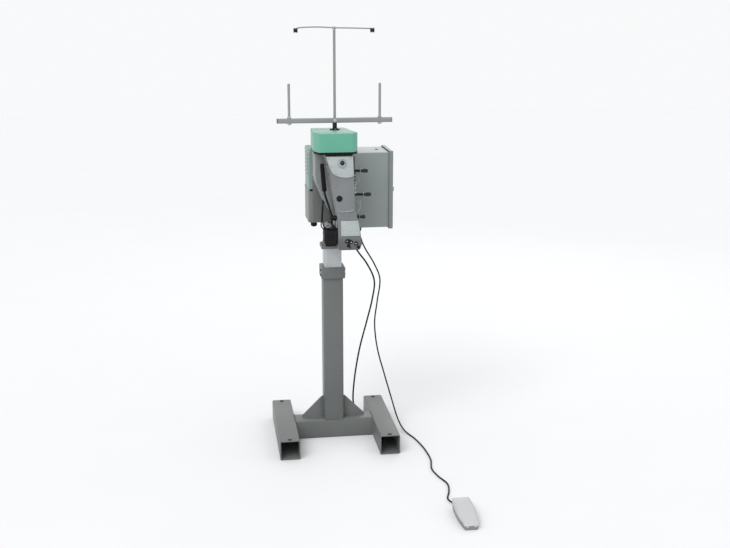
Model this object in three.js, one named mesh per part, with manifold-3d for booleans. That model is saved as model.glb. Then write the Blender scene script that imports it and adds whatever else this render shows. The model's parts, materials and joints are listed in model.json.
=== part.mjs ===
// Bag closer sewing machine on a lifting pedestal, with thread stand, motor,
// control box, foot switch and mains lead.
// Millimetres. Origin at the centre of the base on the floor, +Z up,
// -Y the operator's side, bags enter from +X and leave at -X.
import * as THREE from "three";
import { mergeVertices } from "three/addons/utils/BufferGeometryUtils.js";
import Module from "manifold-3d";

const wasm = await Module();
wasm.setup();

// ---------------------------------------------------------------- dimensions
const GAP = 0.3; // clearance between touching pieces

const TUBE = 80; // base and column tube
const TUBE_WALL = 4;
const RUNNER_X = 200; // runner centre lines
const RUNNER_FRONT = -250;
const RUNNER_BACK = 220;
const COLUMN_TOP = 700;
const INNER = 70; // lifting tube
const INNER_WALL = 3;
const INNER_BOTTOM = 300;
const INNER_TOP = 820;
const COLLAR = 96;

const CRANK_Z = 210; // crank axis height
const CRANK_R = 75;
const SCREW_R = 9.8;
const SCREW_TOP = 640;

const PLATE_T = 11.7; // bracket floor plate
const BED_BACK = 10; // rear face of the sewing head
const BED_FACE = -120; // sewing face of the bed
const ARM_BACK = -165; // throat side of the arm
const ARM_FRONT = -240;
const HEAD_TOP = 1203;
const HEAD_BOTTOM = 840;
const NEEDLE_X = 45;
const NEEDLE_Z = 884;
const PRESSER_Z = 906;

const SHAFT_X = -10; // main shaft and motor shaft share this X
const SHAFT_Y = -185;
const MOTOR_Y = 130;
const BELT_Z = 1232; // middle of the belt
const HEAD_PULLEY_R = 46;
const MOTOR_PULLEY_R = 34;

const GUARD_BOTTOM = 1217;
const GUARD_TOP = 1287;
const GUARD_REAR_TOP = 1255;
const GUARD_WALL = 2;

const MBOX = { x0: -86, x1: 56, y0: 60, y1: 200, z0: 893, split: 1030, z1: 1190 };
const CBOX = { x0: 60, x1: 241, y0: 60, y1: 250, z0: 865, z1: 1172 };
const DOOR = { x0: 241.3, x1: 258, y0: 54, y1: 256, z0: 859, z1: 1178 };
const HINGE = { x: 246, y: 263 };

const POST_X = -1;
const POST_Y = -130;
const POST_TOP = 1658;
const BAR_Z0 = 1314;
const BAR_Z1 = 1332;
const BAR_HALF = 220;
const PIN_OFFSET = 173;
const PIN_TOP = 1462;
const GUIDE_Z = 1666;
const GUIDE_HALF = 141;

const LEVER_Y = -205;
const LEVER_Z = 960;

const PEDAL_X = 366;
const PEDAL_BACK = -760;
const PEDAL_FRONT = -935;

const MAINS_R = 3.5;
const FOOT_R = 3;

// ------------------------------------------------------------------- helpers
function solid(geometry) {
  const g = geometry.clone();
  g.deleteAttribute("normal");
  g.deleteAttribute("uv");
  const m = mergeVertices(g, 1e-4);
  const p = m.getAttribute("position").array;
  const src = m.index.array;
  const tri = [];
  let v6 = 0;
  for (let i = 0; i < src.length; i += 3) {
    const [a, b, c] = [src[i], src[i + 1], src[i + 2]];
    if (a === b || b === c || a === c) continue;
    tri.push(a, b, c);
    const A = new THREE.Vector3().fromArray(p, a * 3);
    const B = new THREE.Vector3().fromArray(p, b * 3);
    const C = new THREE.Vector3().fromArray(p, c * 3);
    v6 += A.dot(B.cross(C));
  }
  if (v6 < 0)
    for (let i = 0; i < tri.length; i += 3)
      [tri[i + 1], tri[i + 2]] = [tri[i + 2], tri[i + 1]];
  return new wasm.Manifold(
    new wasm.Mesh({
      numProp: 3,
      vertProperties: new Float32Array(p),
      triVerts: new Uint32Array(tri),
    }),
  );
}

function geometryOf(body) {
  const m = body.getMesh();
  const v = new Float32Array(m.numVert * 3);
  for (let i = 0; i < m.numVert; i++)
    v.set(m.vertProperties.subarray(i * m.numProp, i * m.numProp + 3), i * 3);
  const g = new THREE.BufferGeometry()
    .setAttribute("position", new THREE.BufferAttribute(v, 3))
    .setIndex(new THREE.BufferAttribute(new Uint32Array(m.triVerts), 1));
  g.computeVertexNormals();
  return g;
}

const BASIS = {
  z: (at) => new THREE.Matrix4().makeTranslation(0, 0, at),
  x: (at) =>
    new THREE.Matrix4().set(0, 0, 1, at, 1, 0, 0, 0, 0, 1, 0, 0, 0, 0, 0, 1),
  y: (at) =>
    new THREE.Matrix4().set(1, 0, 0, 0, 0, 0, -1, at, 0, 1, 0, 0, 0, 0, 0, 1),
};

// Straight extrusion of a polygon. z: points are (x, y). x: points are (y, z).
// y: points are (x, z).
function prism(axis, points, from, to) {
  const shape = new THREE.Shape(points.map(([u, v]) => new THREE.Vector2(u, v)));
  const g = new THREE.ExtrudeGeometry(shape, {
    depth: to - from,
    bevelEnabled: false,
  });
  g.applyMatrix4(BASIS[axis](axis === "y" ? to : from));
  return solid(g);
}

function box(x0, x1, y0, y1, z0, z1) {
  const g = new THREE.BoxGeometry(x1 - x0, y1 - y0, z1 - z0);
  g.translate((x0 + x1) / 2, (y0 + y1) / 2, (z0 + z1) / 2);
  return solid(g);
}

// Rectangle outline with rounded corners.
function rounded(u0, u1, v0, v1, r, n = 3) {
  const out = [];
  const corner = (cu, cv, a0) => {
    for (let i = 0; i <= n; i++) {
      const a = a0 + (Math.PI / 2) * (i / n);
      out.push([cu + r * Math.cos(a), cv + r * Math.sin(a)]);
    }
  };
  corner(u1 - r, v1 - r, 0);
  corner(u0 + r, v1 - r, Math.PI / 2);
  corner(u0 + r, v0 + r, Math.PI);
  corner(u1 - r, v0 + r, -Math.PI / 2);
  return out;
}

function circle(cu, cv, r, n = 24) {
  return Array.from({ length: n }, (_, i) => [
    cu + r * Math.cos((i / n) * Math.PI * 2),
    cv + r * Math.sin((i / n) * Math.PI * 2),
  ]);
}

// Cylinder along an axis; (u, v) as in prism.
const rod = (axis, u, v, r, from, to, n = 20) =>
  prism(axis, circle(u, v, r, n), from, to);

// Turned piece: profile is [radius, along], revolved about the axis through
// (u, v). Along y the second value is counted towards -Y.
function turned(axis, u, v, profile, n = 24) {
  const g = new THREE.LatheGeometry(
    profile.map(([r, h]) => new THREE.Vector2(r, h)),
    n,
  );
  g.rotateX(Math.PI / 2); // profile height now runs along +Z
  if (axis === "z") g.translate(u, v, 0);
  if (axis === "x")
    g.applyMatrix4(
      new THREE.Matrix4().set(0, 0, 1, 0, 1, 0, 0, u, 0, 1, 0, v, 0, 0, 0, 1),
    );
  if (axis === "y")
    g.applyMatrix4(
      new THREE.Matrix4().set(1, 0, 0, u, 0, 0, -1, 0, 0, 1, 0, v, 0, 0, 0, 1),
    );
  return solid(g);
}

// Round bar along a smooth path.
function sweep(points, r, n = 10, steps = 40, tension = 0.5) {
  const path = new THREE.CatmullRomCurve3(
    points.map(([x, y, z]) => new THREE.Vector3(x, y, z)),
    false,
    "catmullrom",
    tension,
  );
  const shape = new THREE.Shape(
    circle(0, 0, r, n).map(([u, v]) => new THREE.Vector2(u, v)),
  );
  return solid(
    new THREE.ExtrudeGeometry(shape, {
      steps,
      extrudePath: path,
      bevelEnabled: false,
    }),
  );
}

// Straight round bar between two points.
function strut(a, b, r, n = 16) {
  const A = new THREE.Vector3(...a);
  const B = new THREE.Vector3(...b);
  const g = new THREE.CylinderGeometry(r, r, A.distanceTo(B), n);
  g.applyQuaternion(
    new THREE.Quaternion().setFromUnitVectors(
      new THREE.Vector3(0, 1, 0),
      B.clone().sub(A).normalize(),
    ),
  );
  const mid = A.clone().add(B).multiplyScalar(0.5);
  g.translate(mid.x, mid.y, mid.z);
  return solid(g);
}

const join = (...parts) => parts.reduce((a, b) => a.add(b));
const cut = (body, ...tools) => tools.reduce((a, b) => a.subtract(b), body);

const group = new THREE.Group();
group.name = "bag_closer";
function add(name, body, colour, roughness = 0.6, metalness = 0.1) {
  const mesh = new THREE.Mesh(
    geometryOf(body),
    new THREE.MeshStandardMaterial({ color: colour, roughness, metalness }),
  );
  mesh.name = name;
  group.add(mesh);
}

const GREY = 0x6e7170;
const BOX_GREY = 0x848b8b;
const GREEN = 0x5aa086;
const CASTING = 0x8a8d8f;
const BRIGHT = 0xb4bcbb;
const STEEL = 0x9aa0a2;
const BLACK = 0x1b1c1c;
const IVORY = 0xd2d2d4;

// ---------------------------------------------------------------------- base
const T = TUBE / 2;
{
  const runner = (s) => {
    const x = s * RUNNER_X;
    const outer = prism(
      "y",
      rounded(x - T, x + T, 0, TUBE, 6),
      RUNNER_FRONT,
      RUNNER_BACK,
    );
    return cut(
      outer,
      box(
        x - T + TUBE_WALL,
        x + T - TUBE_WALL,
        RUNNER_FRONT - 5,
        RUNNER_BACK - 6,
        TUBE_WALL,
        TUBE - TUBE_WALL,
      ),
    );
  };
  const cross = prism(
    "x",
    rounded(-T, T, 0, TUBE, 6),
    -RUNNER_X + T - 0.5,
    RUNNER_X - T + 0.5,
  );
  const gussetX = (s) =>
    prism(
      "y",
      [
        [s * (T + GAP), TUBE - 1],
        [s * (T + GAP), TUBE + 90],
        [s * (T + 8), TUBE + 90],
        [s * (T + 90), TUBE + 8],
        [s * (T + 90), TUBE - 1],
      ],
      -4,
      4,
    );
  add(
    "base_frame",
    join(runner(-1), runner(1), cross, gussetX(-1), gussetX(1)),
    GREY,
  );
}

// ------------------------------------------------------- column and its lift
add(
  "column_outer",
  cut(
    prism("z", rounded(-T, T, -T, T, 6), TUBE + GAP, COLUMN_TOP),
    box(
      -T + TUBE_WALL,
      T - TUBE_WALL,
      -T + TUBE_WALL,
      T - TUBE_WALL,
      TUBE + 6,
      COLUMN_TOP + 5,
    ),
    box(-30.3, 30.3, 30, 50, CRANK_Z - 38.3, CRANK_Z + 38.3),
  ),
  GREY,
);
add(
  "column_collar",
  join(
    cut(
      prism(
        "z",
        rounded(-COLLAR / 2, COLLAR / 2, -COLLAR / 2, COLLAR / 2, 7),
        COLUMN_TOP - 18,
        COLUMN_TOP + 26,
      ),
      prism(
        "z",
        rounded(-T - GAP, T + GAP, -T - GAP, T + GAP, 6.3),
        COLUMN_TOP - 20,
        COLUMN_TOP + GAP,
      ),
      box(
        -INNER / 2 - GAP,
        INNER / 2 + GAP,
        -INNER / 2 - GAP,
        INNER / 2 + GAP,
        COLUMN_TOP - 1,
        COLUMN_TOP + 30,
      ),
    ),
    rod("y", -22, COLUMN_TOP + 12, 7, COLLAR / 2 - 1, COLLAR / 2 + 8, 6),
    rod("y", 22, COLUMN_TOP + 12, 7, COLLAR / 2 - 1, COLLAR / 2 + 8, 6),
  ),
  GREY,
);
{
  const I = INNER / 2;
  add(
    "column_inner",
    cut(
      prism("z", rounded(-I, I, -I, I, 5), INNER_BOTTOM, INNER_TOP),
      box(
        -I + INNER_WALL,
        I - INNER_WALL,
        -I + INNER_WALL,
        I - INNER_WALL,
        INNER_BOTTOM - 5,
        INNER_TOP + 5,
      ),
    ),
    STEEL,
    0.4,
    0.7,
  );
  const N = I - INNER_WALL - GAP;
  add(
    "lift_nut",
    cut(
      box(-N, N, -N, N, INNER_BOTTOM, INNER_BOTTOM + 30),
      rod("z", 0, 0, SCREW_R + 0.3, INNER_BOTTOM - 5, INNER_BOTTOM + 40),
    ),
    0xa58a4a,
    0.4,
    0.8,
  );
}
add(
  "crank_gearbox",
  cut(
    join(
      prism(
        "y",
        rounded(-36, 36, CRANK_Z - 44, CRANK_Z + 44, 6),
        T + GAP,
        T + 10,
      ),
      box(-30, 30, -26, T + 5, CRANK_Z - 38, CRANK_Z - 26),
      box(-30, 30, 29, T + 5, CRANK_Z - 38, CRANK_Z + 38),
      rod("y", 0, CRANK_Z, 18, T + 5, T + 38, 24),
    ),
    rod("z", 0, 0, 7.1, CRANK_Z - 50, CRANK_Z - 20),
    rod("y", 0, CRANK_Z, 8.4, 20, 90, 24),
  ),
  GREY,
);
add(
  "lift_screw",
  turned("z", 0, 0, [
    [0, CRANK_Z - 36],
    [6.7, CRANK_Z - 36],
    [6.7, CRANK_Z - 25.7],
    [11, CRANK_Z - 25.7],
    [11, CRANK_Z - 21],
    [8, CRANK_Z - 21],
    [8, CRANK_Z + 15],
    [14.2, CRANK_Z + 15],
    [24.2, CRANK_Z + 25],
    [24.2, CRANK_Z + 29],
    [13, CRANK_Z + 33],
    [SCREW_R, CRANK_Z + 36],
    [SCREW_R, SCREW_TOP - 3],
    [SCREW_R - 3, SCREW_TOP],
    [0, SCREW_TOP],
  ]),
  STEEL,
  0.35,
  0.8,
);
// Bevel pinion, shaft and arm, keyed together.
add(
  "lift_crank",
  join(
    turned("y", 0, CRANK_Z, [
      [0, -85],
      [8, -85],
      [8, -28.7],
      [20, -28.7],
      [24.2, -25],
      [14.2, -15],
      [0, -15],
    ]),
    prism(
      "y",
      rounded(-11, 11, CRANK_Z - 14, CRANK_Z + CRANK_R + 12, 8),
      84,
      94,
    ),
    rod("y", 0, CRANK_Z + CRANK_R, 4, 92, 142, 14),
  ),
  STEEL,
  0.4,
  0.7,
);
add(
  "crank_knob",
  cut(
    turned("y", 0, CRANK_Z + CRANK_R, [
      [0, -141],
      [8, -141],
      [12, -136],
      [12.5, -124],
      [10, -104],
      [9, -94.4],
      [0, -94.4],
    ]),
    rod("y", 0, CRANK_Z + CRANK_R, 4.3, 90, 150, 14),
  ),
  BLACK,
);

// ------------------------------------------------------------- head bracket
{
  const z0 = INNER_TOP + GAP;
  const z1 = z0 + PLATE_T;
  add(
    "head_bracket",
    join(
      prism(
        "z",
        [
          [-54, -118],
          [75, -118],
          [75, 10],
          [60, 62],
          [60, 262],
          [0, 262],
          [0, 62],
          [-28, 60],
          [-28, 0],
          [-54, -40],
        ],
        z0,
        z1,
      ),
      box(-28, 56, 46, MBOX.y0 - GAP, z1 - 1, 896),
      box(-70, 56, 46, MBOX.y0 - GAP, 895, 1150),
      box(-26, 54, BED_BACK + GAP, 47, 878, 890),
      box(-50, 54, BED_BACK + GAP, 47, 1090, 1102),
      box(0, 60, CBOX.y1 + GAP, 262, z1 - 1, 880),
      box(0, 225, CBOX.y1 + GAP, 262, 879, 1100),
      prism(
        "x",
        [
          [62, z1 - 1],
          [250, z1 - 1],
          [250, 856],
          [200, z1 + 2],
          [62, z1 + 2],
        ],
        27,
        33,
      ),
    ),
    GREY,
  );
}

// ------------------------------------------------------------------ motor
{
  const m = MBOX;
  const w = 2;
  add(
    "motor_box",
    cut(
      prism("z", rounded(m.x0, m.x1, m.y0, m.y1, 5), m.split, m.z1),
      box(m.x0 + w, m.x1 - w, m.y0 + w, m.y1 - w, m.split - 5, m.z1 - w),
      rod("z", SHAFT_X, MOTOR_Y, 26, m.z1 - 10, m.z1 + 10, 28),
    ),
    0x88a095,
  );
  const o = 1.8;
  add(
    "motor_cover",
    cut(
      prism(
        "z",
        rounded(m.x0 - o, m.x1 + o, m.y0 - GAP + 0.1, m.y1 + o, 6),
        m.z0,
        m.split - GAP,
      ),
      box(m.x0 + w, m.x1 - w, m.y0 + w, m.y1 - w, m.z0 + w, m.split + 5),
      rod("z", -60, 120, 10.3, m.z0 - 5, m.z0 + 10),
    ),
    0x7a7a7a,
  );
  add(
    "motor_body",
    turned(
      "z",
      SHAFT_X,
      MOTOR_Y,
      [
        [0, 906],
        [50, 906],
        [58, 914],
        [58, 1150],
        [64, 1152],
        [64, 1164],
        [40, 1166],
        [25, 1180],
        [9.4, 1180],
        [9.4, 1160],
        [0, 1160],
      ],
      36,
    ),
    0x5d6b66,
  );
  add(
    "motor_pulley",
    turned(
      "z",
      SHAFT_X,
      MOTOR_Y,
      [
        [0, 1161],
        [9, 1161],
        [9, 1210],
        [18, 1210],
        [18, BELT_Z - 10],
        [MOTOR_PULLEY_R, BELT_Z - 10],
        [MOTOR_PULLEY_R, BELT_Z - 6.5],
        [MOTOR_PULLEY_R - 13, BELT_Z - 5.6],
        [MOTOR_PULLEY_R - 13, BELT_Z + 5.6],
        [MOTOR_PULLEY_R, BELT_Z + 6.5],
        [MOTOR_PULLEY_R, BELT_Z + 10],
        [16, BELT_Z + 10],
        [16, BELT_Z + 14],
        [0, BELT_Z + 14],
      ],
      32,
    ),
    0x6a6e70,
    0.4,
    0.7,
  );
}
{
  // Belt loop: two arcs and their common tangents.
  const loop = (ra, rb, n = 14) => {
    const d = MOTOR_Y - SHAFT_Y;
    const a = Math.asin((ra - rb) / d); // tangent tilt
    const out = [];
    for (let i = 0; i <= n; i++) {
      const t = Math.PI - a + (Math.PI + 2 * a) * (i / n);
      out.push([SHAFT_X + ra * Math.cos(t), SHAFT_Y + ra * Math.sin(t)]);
    }
    for (let i = 0; i <= n; i++) {
      const t = a + (Math.PI - 2 * a) * (i / n);
      out.push([SHAFT_X + rb * Math.cos(t), MOTOR_Y + rb * Math.sin(t)]);
    }
    return out;
  };
  add(
    "v_belt",
    cut(
      prism(
        "z",
        loop(HEAD_PULLEY_R - 2, MOTOR_PULLEY_R - 2),
        BELT_Z - 5,
        BELT_Z + 5,
      ),
      prism(
        "z",
        loop(HEAD_PULLEY_R - 11, MOTOR_PULLEY_R - 11),
        BELT_Z - 9,
        BELT_Z + 9,
      ),
    ),
    BLACK,
    0.9,
    0,
  );
}
add(
  "head_pulley",
  cut(
    turned(
      "z",
      SHAFT_X,
      SHAFT_Y,
      [
        [0, 1212],
        [16, 1212],
        [18, BELT_Z - 11],
        [HEAD_PULLEY_R, BELT_Z - 11],
        [HEAD_PULLEY_R, BELT_Z - 6.5],
        [HEAD_PULLEY_R - 13, BELT_Z - 5.6],
        [HEAD_PULLEY_R - 13, BELT_Z + 5.6],
        [HEAD_PULLEY_R, BELT_Z + 6.5],
        [HEAD_PULLEY_R, BELT_Z + 24],
        [HEAD_PULLEY_R - 6, BELT_Z + 27],
        [HEAD_PULLEY_R - 9, BELT_Z + 14],
        [18, BELT_Z + 12],
        [16, BELT_Z + 30],
        [0, BELT_Z + 30],
      ],
      36,
    ),
    rod("z", SHAFT_X, SHAFT_Y, 8.4, 1200, 1280, 24),
  ),
  0x8d9294,
  0.35,
  0.7,
);
add(
  "main_shaft",
  turned("z", SHAFT_X, SHAFT_Y, [
    [0, 1092],
    [7, 1092],
    [8, 1093],
    [8, BELT_Z + 30.3],
    [11, BELT_Z + 30.3],
    [11, BELT_Z + 38],
    [0, BELT_Z + 38],
  ]),
  STEEL,
  0.3,
  0.9,
);
{
  // Guard: a tall front hood and a lower channel reaching the motor.
  const hood = [
    [-73, -252],
    [53, -252],
    [74, -222],
    [44, -52],
    [-86, -52],
    [-90, -208],
  ];
  const w = GUARD_WALL;
  const hoodIn = [
    [-72.2 + 1.1, -252 + w],
    [53 - 1.2, -252 + w],
    [74 - w - 0.6, -222 + 0.5],
    [44 - w, -52 - w],
    [-86 + w, -52 - w],
    [-90 + w + 0.1, -208 + 0.4],
  ];
  const rx0 = -56;
  const rx1 = 34;
  const back = 184;
  add(
    "belt_guard",
    cut(
      join(
        prism("z", hood, GUARD_BOTTOM, GUARD_TOP),
        prism(
          "z",
          [
            [rx0, -60],
            [rx1, -60],
            [rx1, back - 24],
            [rx1 - 24, back],
            [rx0 + 24, back],
            [rx0, back - 24],
          ],
          GUARD_BOTTOM,
          GUARD_REAR_TOP,
        ),
        // Feet on the sewing head and on the motor box.
        box(rx0, rx0 + 6, -44, -14, HEAD_TOP + GAP, GUARD_BOTTOM + 1),
        box(rx1 - 6, rx1, -44, -14, HEAD_TOP + GAP, GUARD_BOTTOM + 1),
        box(rx0, rx0 + 6, 96, 126, MBOX.z1 + GAP, GUARD_BOTTOM + 1),
        box(rx1 - 6, rx1, 96, 126, MBOX.z1 + GAP, GUARD_BOTTOM + 1),
        box(rx0 - 12, rx0 + 6, -44, -14, HEAD_TOP + GAP, HEAD_TOP + 3.3),
        box(rx1 - 6, rx1 + 12, -44, -14, HEAD_TOP + GAP, HEAD_TOP + 3.3),
        box(rx0 - 12, rx0 + 6, 96, 126, MBOX.z1 + GAP, MBOX.z1 + 3.3),
        box(rx1 - 6, rx1 + 12, 96, 126, MBOX.z1 + GAP, MBOX.z1 + 3.3),
      ),
      prism("z", hoodIn, GUARD_BOTTOM - 5, GUARD_TOP - w),
      prism(
        "z",
        [
          [rx0 + w, -80],
          [rx1 - w, -80],
          [rx1 - w, back - 25],
          [rx1 - 25, back - w],
          [rx0 + 25, back - w],
          [rx0 + w, back - 25],
        ],
        GUARD_BOTTOM + 1.5,
        GUARD_REAR_TOP - w,
      ),
      prism(
        "z",
        [
          [rx0 + 6.5, -80],
          [rx1 - 6.5, -80],
          [rx1 - 6.5, back - 30],
          [rx1 - 30, back - 6],
          [rx0 + 30, back - 6],
          [rx0 + 6.5, back - 30],
        ],
        GUARD_BOTTOM - 30,
        GUARD_BOTTOM + 5,
      ),
    ),
    GREEN,
  );
}

// ------------------------------------------------------------- control box
{
  const b = CBOX;
  const w = 1.5;
  const leaf = (z0, z1) =>
    join(
      prism(
        "z",
        [
          [232, 249.5],
          [241, 249.5],
          [241, 257.6],
          [247, 260],
          [245, 266],
          [241, 264],
          [232, 252.5],
        ],
        z0,
        z1,
      ),
      rod("z", HINGE.x, HINGE.y, 5, z0, z1, 18),
    );
  add(
    "control_box",
    cut(
      join(
        box(b.x0, b.x1, b.y0, b.y1, b.z0, b.z1),
        leaf(930.4, 958),
        leaf(1078, 1106.6),
      ),
      box(b.x0 + w, b.x1 + 5, b.y0 + w, b.y1 - w, b.z0 + w, b.z1 - w),
      rod("z", 90, 110, 8.3, b.z0 - 5, b.z0 + 5),
      rod("z", 125, 110, 8.3, b.z0 - 5, b.z0 + 5),
      rod("x", 228, 920, 8.3, b.x0 - 5, b.x0 + 5),
      rod("z", HINGE.x, HINGE.y, 2.3, 900, 1150, 14),
    ).add(box(239.6, b.x1, b.y0 + 1, 72, 1000, 1036)),
    BOX_GREY,
  );
  const d = DOOR;
  const knuckle = (z0, z1) =>
    join(
      prism(
        "z",
        [
          [243, 255],
          [256, 255],
          [250, 263],
          [243, 263],
        ],
        z0,
        z1,
      ),
      rod("z", HINGE.x, HINGE.y, 5, z0, z1, 18),
    );
  add(
    "control_door",
    cut(
      join(
        cut(
          box(d.x0, d.x1, d.y0, d.y1, d.z0, d.z1),
          box(d.x0 - 5, d.x1 - w, d.y0 + w, d.y1 - w, d.z0 + w, d.z1 - w),
        ),
        rod("x", 110, 1130, 14, d.x1 - 1, d.x1 + 4, 24),
        rod("x", 160, 1130, 14, d.x1 - 1, d.x1 + 2, 24),
        knuckle(902, 930),
        knuckle(1107, 1135),
      ),
      rod("x", 110, 1130, 9.4, d.x0 - 5, d.x1 + 10, 24),
      rod("x", 160, 1130, 8.4, d.x0 - 5, d.x1 + 10, 24),
      rod("x", 84, 1018, 8.4, d.x0 - 5, d.x1 + 10, 24),
      rod("z", HINGE.x, HINGE.y, 2.3, 880, 1160, 14),
    ),
    0x737a79,
  );
  add(
    "door_hinge_pin",
    rod("z", HINGE.x, HINGE.y, 2, 901, 1136, 14),
    STEEL,
    0.3,
    0.9,
  );
  add(
    "door_lock",
    join(
      turned("x", 84, 1018, [
        [0, 236],
        [8, 236],
        [8, d.x1 + 0.3],
        [11, d.x1 + 0.3],
        [11, d.x1 + 3],
        [9.5, d.x1 + 5],
        [0, d.x1 + 5],
      ]),
      box(236, 238.5, 77, 91, 1018, 1039),
      box(d.x1 + 4, d.x1 + 9, 82, 86, 1010, 1026),
    ),
    STEEL,
    0.3,
    0.9,
  );
  add(
    "start_button",
    turned("x", 110, 1130, [
      [0, 244],
      [9, 244],
      [9, 264.5],
      [7.5, 266],
      [0, 266],
    ]),
    0x1f9a4a,
    0.4,
    0,
  );
  add(
    "stop_button",
    turned("x", 160, 1130, [
      [0, 244],
      [8, 244],
      [8, 266],
      [17, 266],
      [17, 270],
      [12, 275],
      [0, 276],
    ]),
    0xc2201c,
    0.4,
    0,
  );
  add(
    "control_plate",
    join(
      box(76, 224, 244.5, b.y1 - w - GAP, 884, 1150),
      box(82, 218, 238, 246, 1062, 1070),
      box(90, 136, 166, 240, 1028, 1104),
      box(146, 182, 172, 240, 1026, 1106),
      box(84, 216, 206, 246, 940, 966),
    ),
    0xc9ccc8,
  );
}
function gland(x, y, z, r) {
  return turned(
    "z",
    x,
    y,
    [
      [r, z - 24],
      [r + 4, z - 22],
      [r + 6, z - 15],
      [r + 6, z - 9],
      [11.5, z - 8],
      [11.5, z - GAP],
      [7.6, z - GAP],
      [7.6, z + 9],
      [r, z + 9],
      [r, z - 24],
    ],
    18,
  );
}
add("gland_mains", gland(90, 110, CBOX.z0, MAINS_R + 0.4), BLACK);
add("gland_foot", gland(125, 110, CBOX.z0, FOOT_R + 0.4), BLACK);
add(
  "motor_lead",
  join(
    turned(
      "z",
      -60,
      120,
      [
        [0, 866],
        [10, 866],
        [13, 870],
        [13, 884],
        [12, MBOX.z0 - GAP],
        [9.8, MBOX.z0 - GAP],
        [9.8, MBOX.z0 + 1.5],
        [0, MBOX.z0 + 1.5],
      ],
      18,
    ),
    sweep(
      [
        [-60, 124, 876],
        [-60, 150, 876],
        [-60, 195, 878],
        [-46, 226, 892],
        [0, 228, 914],
        [40, 228, 920],
        [66, 228, 920],
      ],
      5,
      8,
      28,
    ),
    rod("x", 228, 920, 12, 48, CBOX.x0 - GAP, 6),
  ),
  BLACK,
);

// -------------------------------------------------------------- sewing head
// Arm outline seen from the operator's side, (x, z).
const armOutline = [
  [-50, HEAD_TOP],
  [-41, 1172],
  [-28, 1100],
  [-15, 1020],
  [-8, 990],
  [-4, 950],
  [-4, HEAD_BOTTOM + 6],
  [4, HEAD_BOTTOM],
  [80, HEAD_BOTTOM],
  [88, 862],
  [78, 945],
  [62, 992],
  [58, 1128],
  [56, HEAD_TOP],
];
const bedOutline = [
  [-72, HEAD_TOP],
  [-72, 1080],
  [-40, 1000],
  [-4, 940],
  [-4, HEAD_BOTTOM + 4],
  [0, HEAD_BOTTOM],
  [82, HEAD_BOTTOM],
  [88, 862],
  [84, 960],
  [66, 1020],
  [66, HEAD_TOP],
];
{
  const arm = prism("y", armOutline, ARM_FRONT, ARM_BACK);
  const bed = prism("y", bedOutline, BED_FACE, BED_BACK);
  // The root above the throat, with a rounded throat roof.
  const root = cut(
    prism(
      "y",
      [
        [-50, HEAD_TOP],
        [-38, 1156],
        [-20, 1052],
        [-8, 1000],
        [-4, 985],
        [62, 985],
        [58, 1128],
        [56, HEAD_TOP],
      ],
      ARM_BACK - 2,
      BED_FACE + 2,
    ),
    rod("x", (ARM_BACK + BED_FACE) / 2, 985, 22, -100, 120, 20),
  );
  const guides = [1088, 1072, 1056].map((z) =>
    turned("x", -200, z, [
      [0, 52],
      [3, 52],
      [3, 66],
      [5.5, 66.5],
      [5.5, 70],
      [0, 70],
    ], 12),
  );
  const body = cut(
    join(
      arm,
      bed,
      root,
      // Main bearing boss on top.
      turned("z", SHAFT_X, SHAFT_Y, [
        [0, 1195],
        [17, 1195],
        [15, 1209],
        [0, 1209],
      ]),
      ...guides,
    ),
    // Main shaft bore.
    rod("z", SHAFT_X, SHAFT_Y, 8.3, 1091, 1215),
    // Blind hole with its plug screw.
    rod("y", 2, 1040, 9, ARM_FRONT - 5, ARM_FRONT + 5),
    // Needle and presser bar chamber and its service opening.
    box(20, 68, -236, -176, 868, 948),
    box(20, 68, ARM_FRONT - 5, -230, 902, 948),
    rod("y", NEEDLE_X, NEEDLE_Z, 4.4, -180, -160),
    rod("y", NEEDLE_X, PRESSER_Z, 4.9, -180, -160),
    // Looper chamber behind the needle plate.
    box(14, 76, BED_FACE - 5, BED_FACE + 2.3, 852, 925),
    box(18, 72, BED_FACE - 5, -66, 856, 921),
    rod("z", 30, -92, 5.3, 846, 930),
    // Lower cover screws.
    rod("y", 36, 858, 4.5, ARM_FRONT - 5, ARM_FRONT + 4, 12),
    rod("y", 42, 849, 3.5, ARM_FRONT - 5, ARM_FRONT + 4, 12),
    rod("y", 74, 852, 4.5, ARM_FRONT - 5, ARM_FRONT + 4, 12),
    // Lever, stud and cutter seats.
    rod("x", LEVER_Y, LEVER_Z, 4.3, -10, 4, 16),
    rod("x", -185, 1136, 4.2, 42, 70, 14),
    rod("x", -185, 1045, 4.2, 42, 80, 14),
    rod("x", -185, 958, 4.2, 55, 100, 14),
    // Seam between the arm and its lower head.
    prism(
      "y",
      [
        [-20, 988],
        [10, 984],
        [40, 985],
        [80, 990],
        [80, 993],
        [40, 988],
        [10, 987],
        [-20, 991],
      ],
      ARM_FRONT - 5,
      ARM_FRONT + 2.5,
    ),
  );
  add("head_body", body, CASTING, 0.55, 0.2);
}
add(
  "upper_cover",
  cut(
    prism(
      "y",
      [
        [-47, 1200],
        [-38, 1168],
        [-24, 1140],
        [-10, 1131],
        [20, 1126],
        [40, 1127],
        [56, 1133],
        [54, 1200],
      ],
      ARM_FRONT - 4,
      ARM_FRONT - GAP,
    ),
    rod("y", 13, 1172, 9.3, ARM_FRONT - 10, ARM_FRONT + 2, 24),
  ),
  BRIGHT,
  0.35,
  0.5,
);
add(
  "oil_cap",
  turned("y", 13, 1172, [
    [0, 240.5],
    [9, 240.5],
    [9, 244.3],
    [15, 244.3],
    [15, 247],
    [12, 249],
    [7, 249.5],
    [6, 255],
    [0, 256],
  ]),
  BLACK,
);
add(
  "face_cover",
  cut(
    prism(
      "y",
      [
        [8, 896],
        [80, 896],
        [77, 930],
        [72, 955],
        [6, 955],
      ],
      ARM_FRONT - 4,
      ARM_FRONT - GAP,
    ),
  ),
  0xbbbfbf,
  0.3,
  0.6,
);

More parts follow.
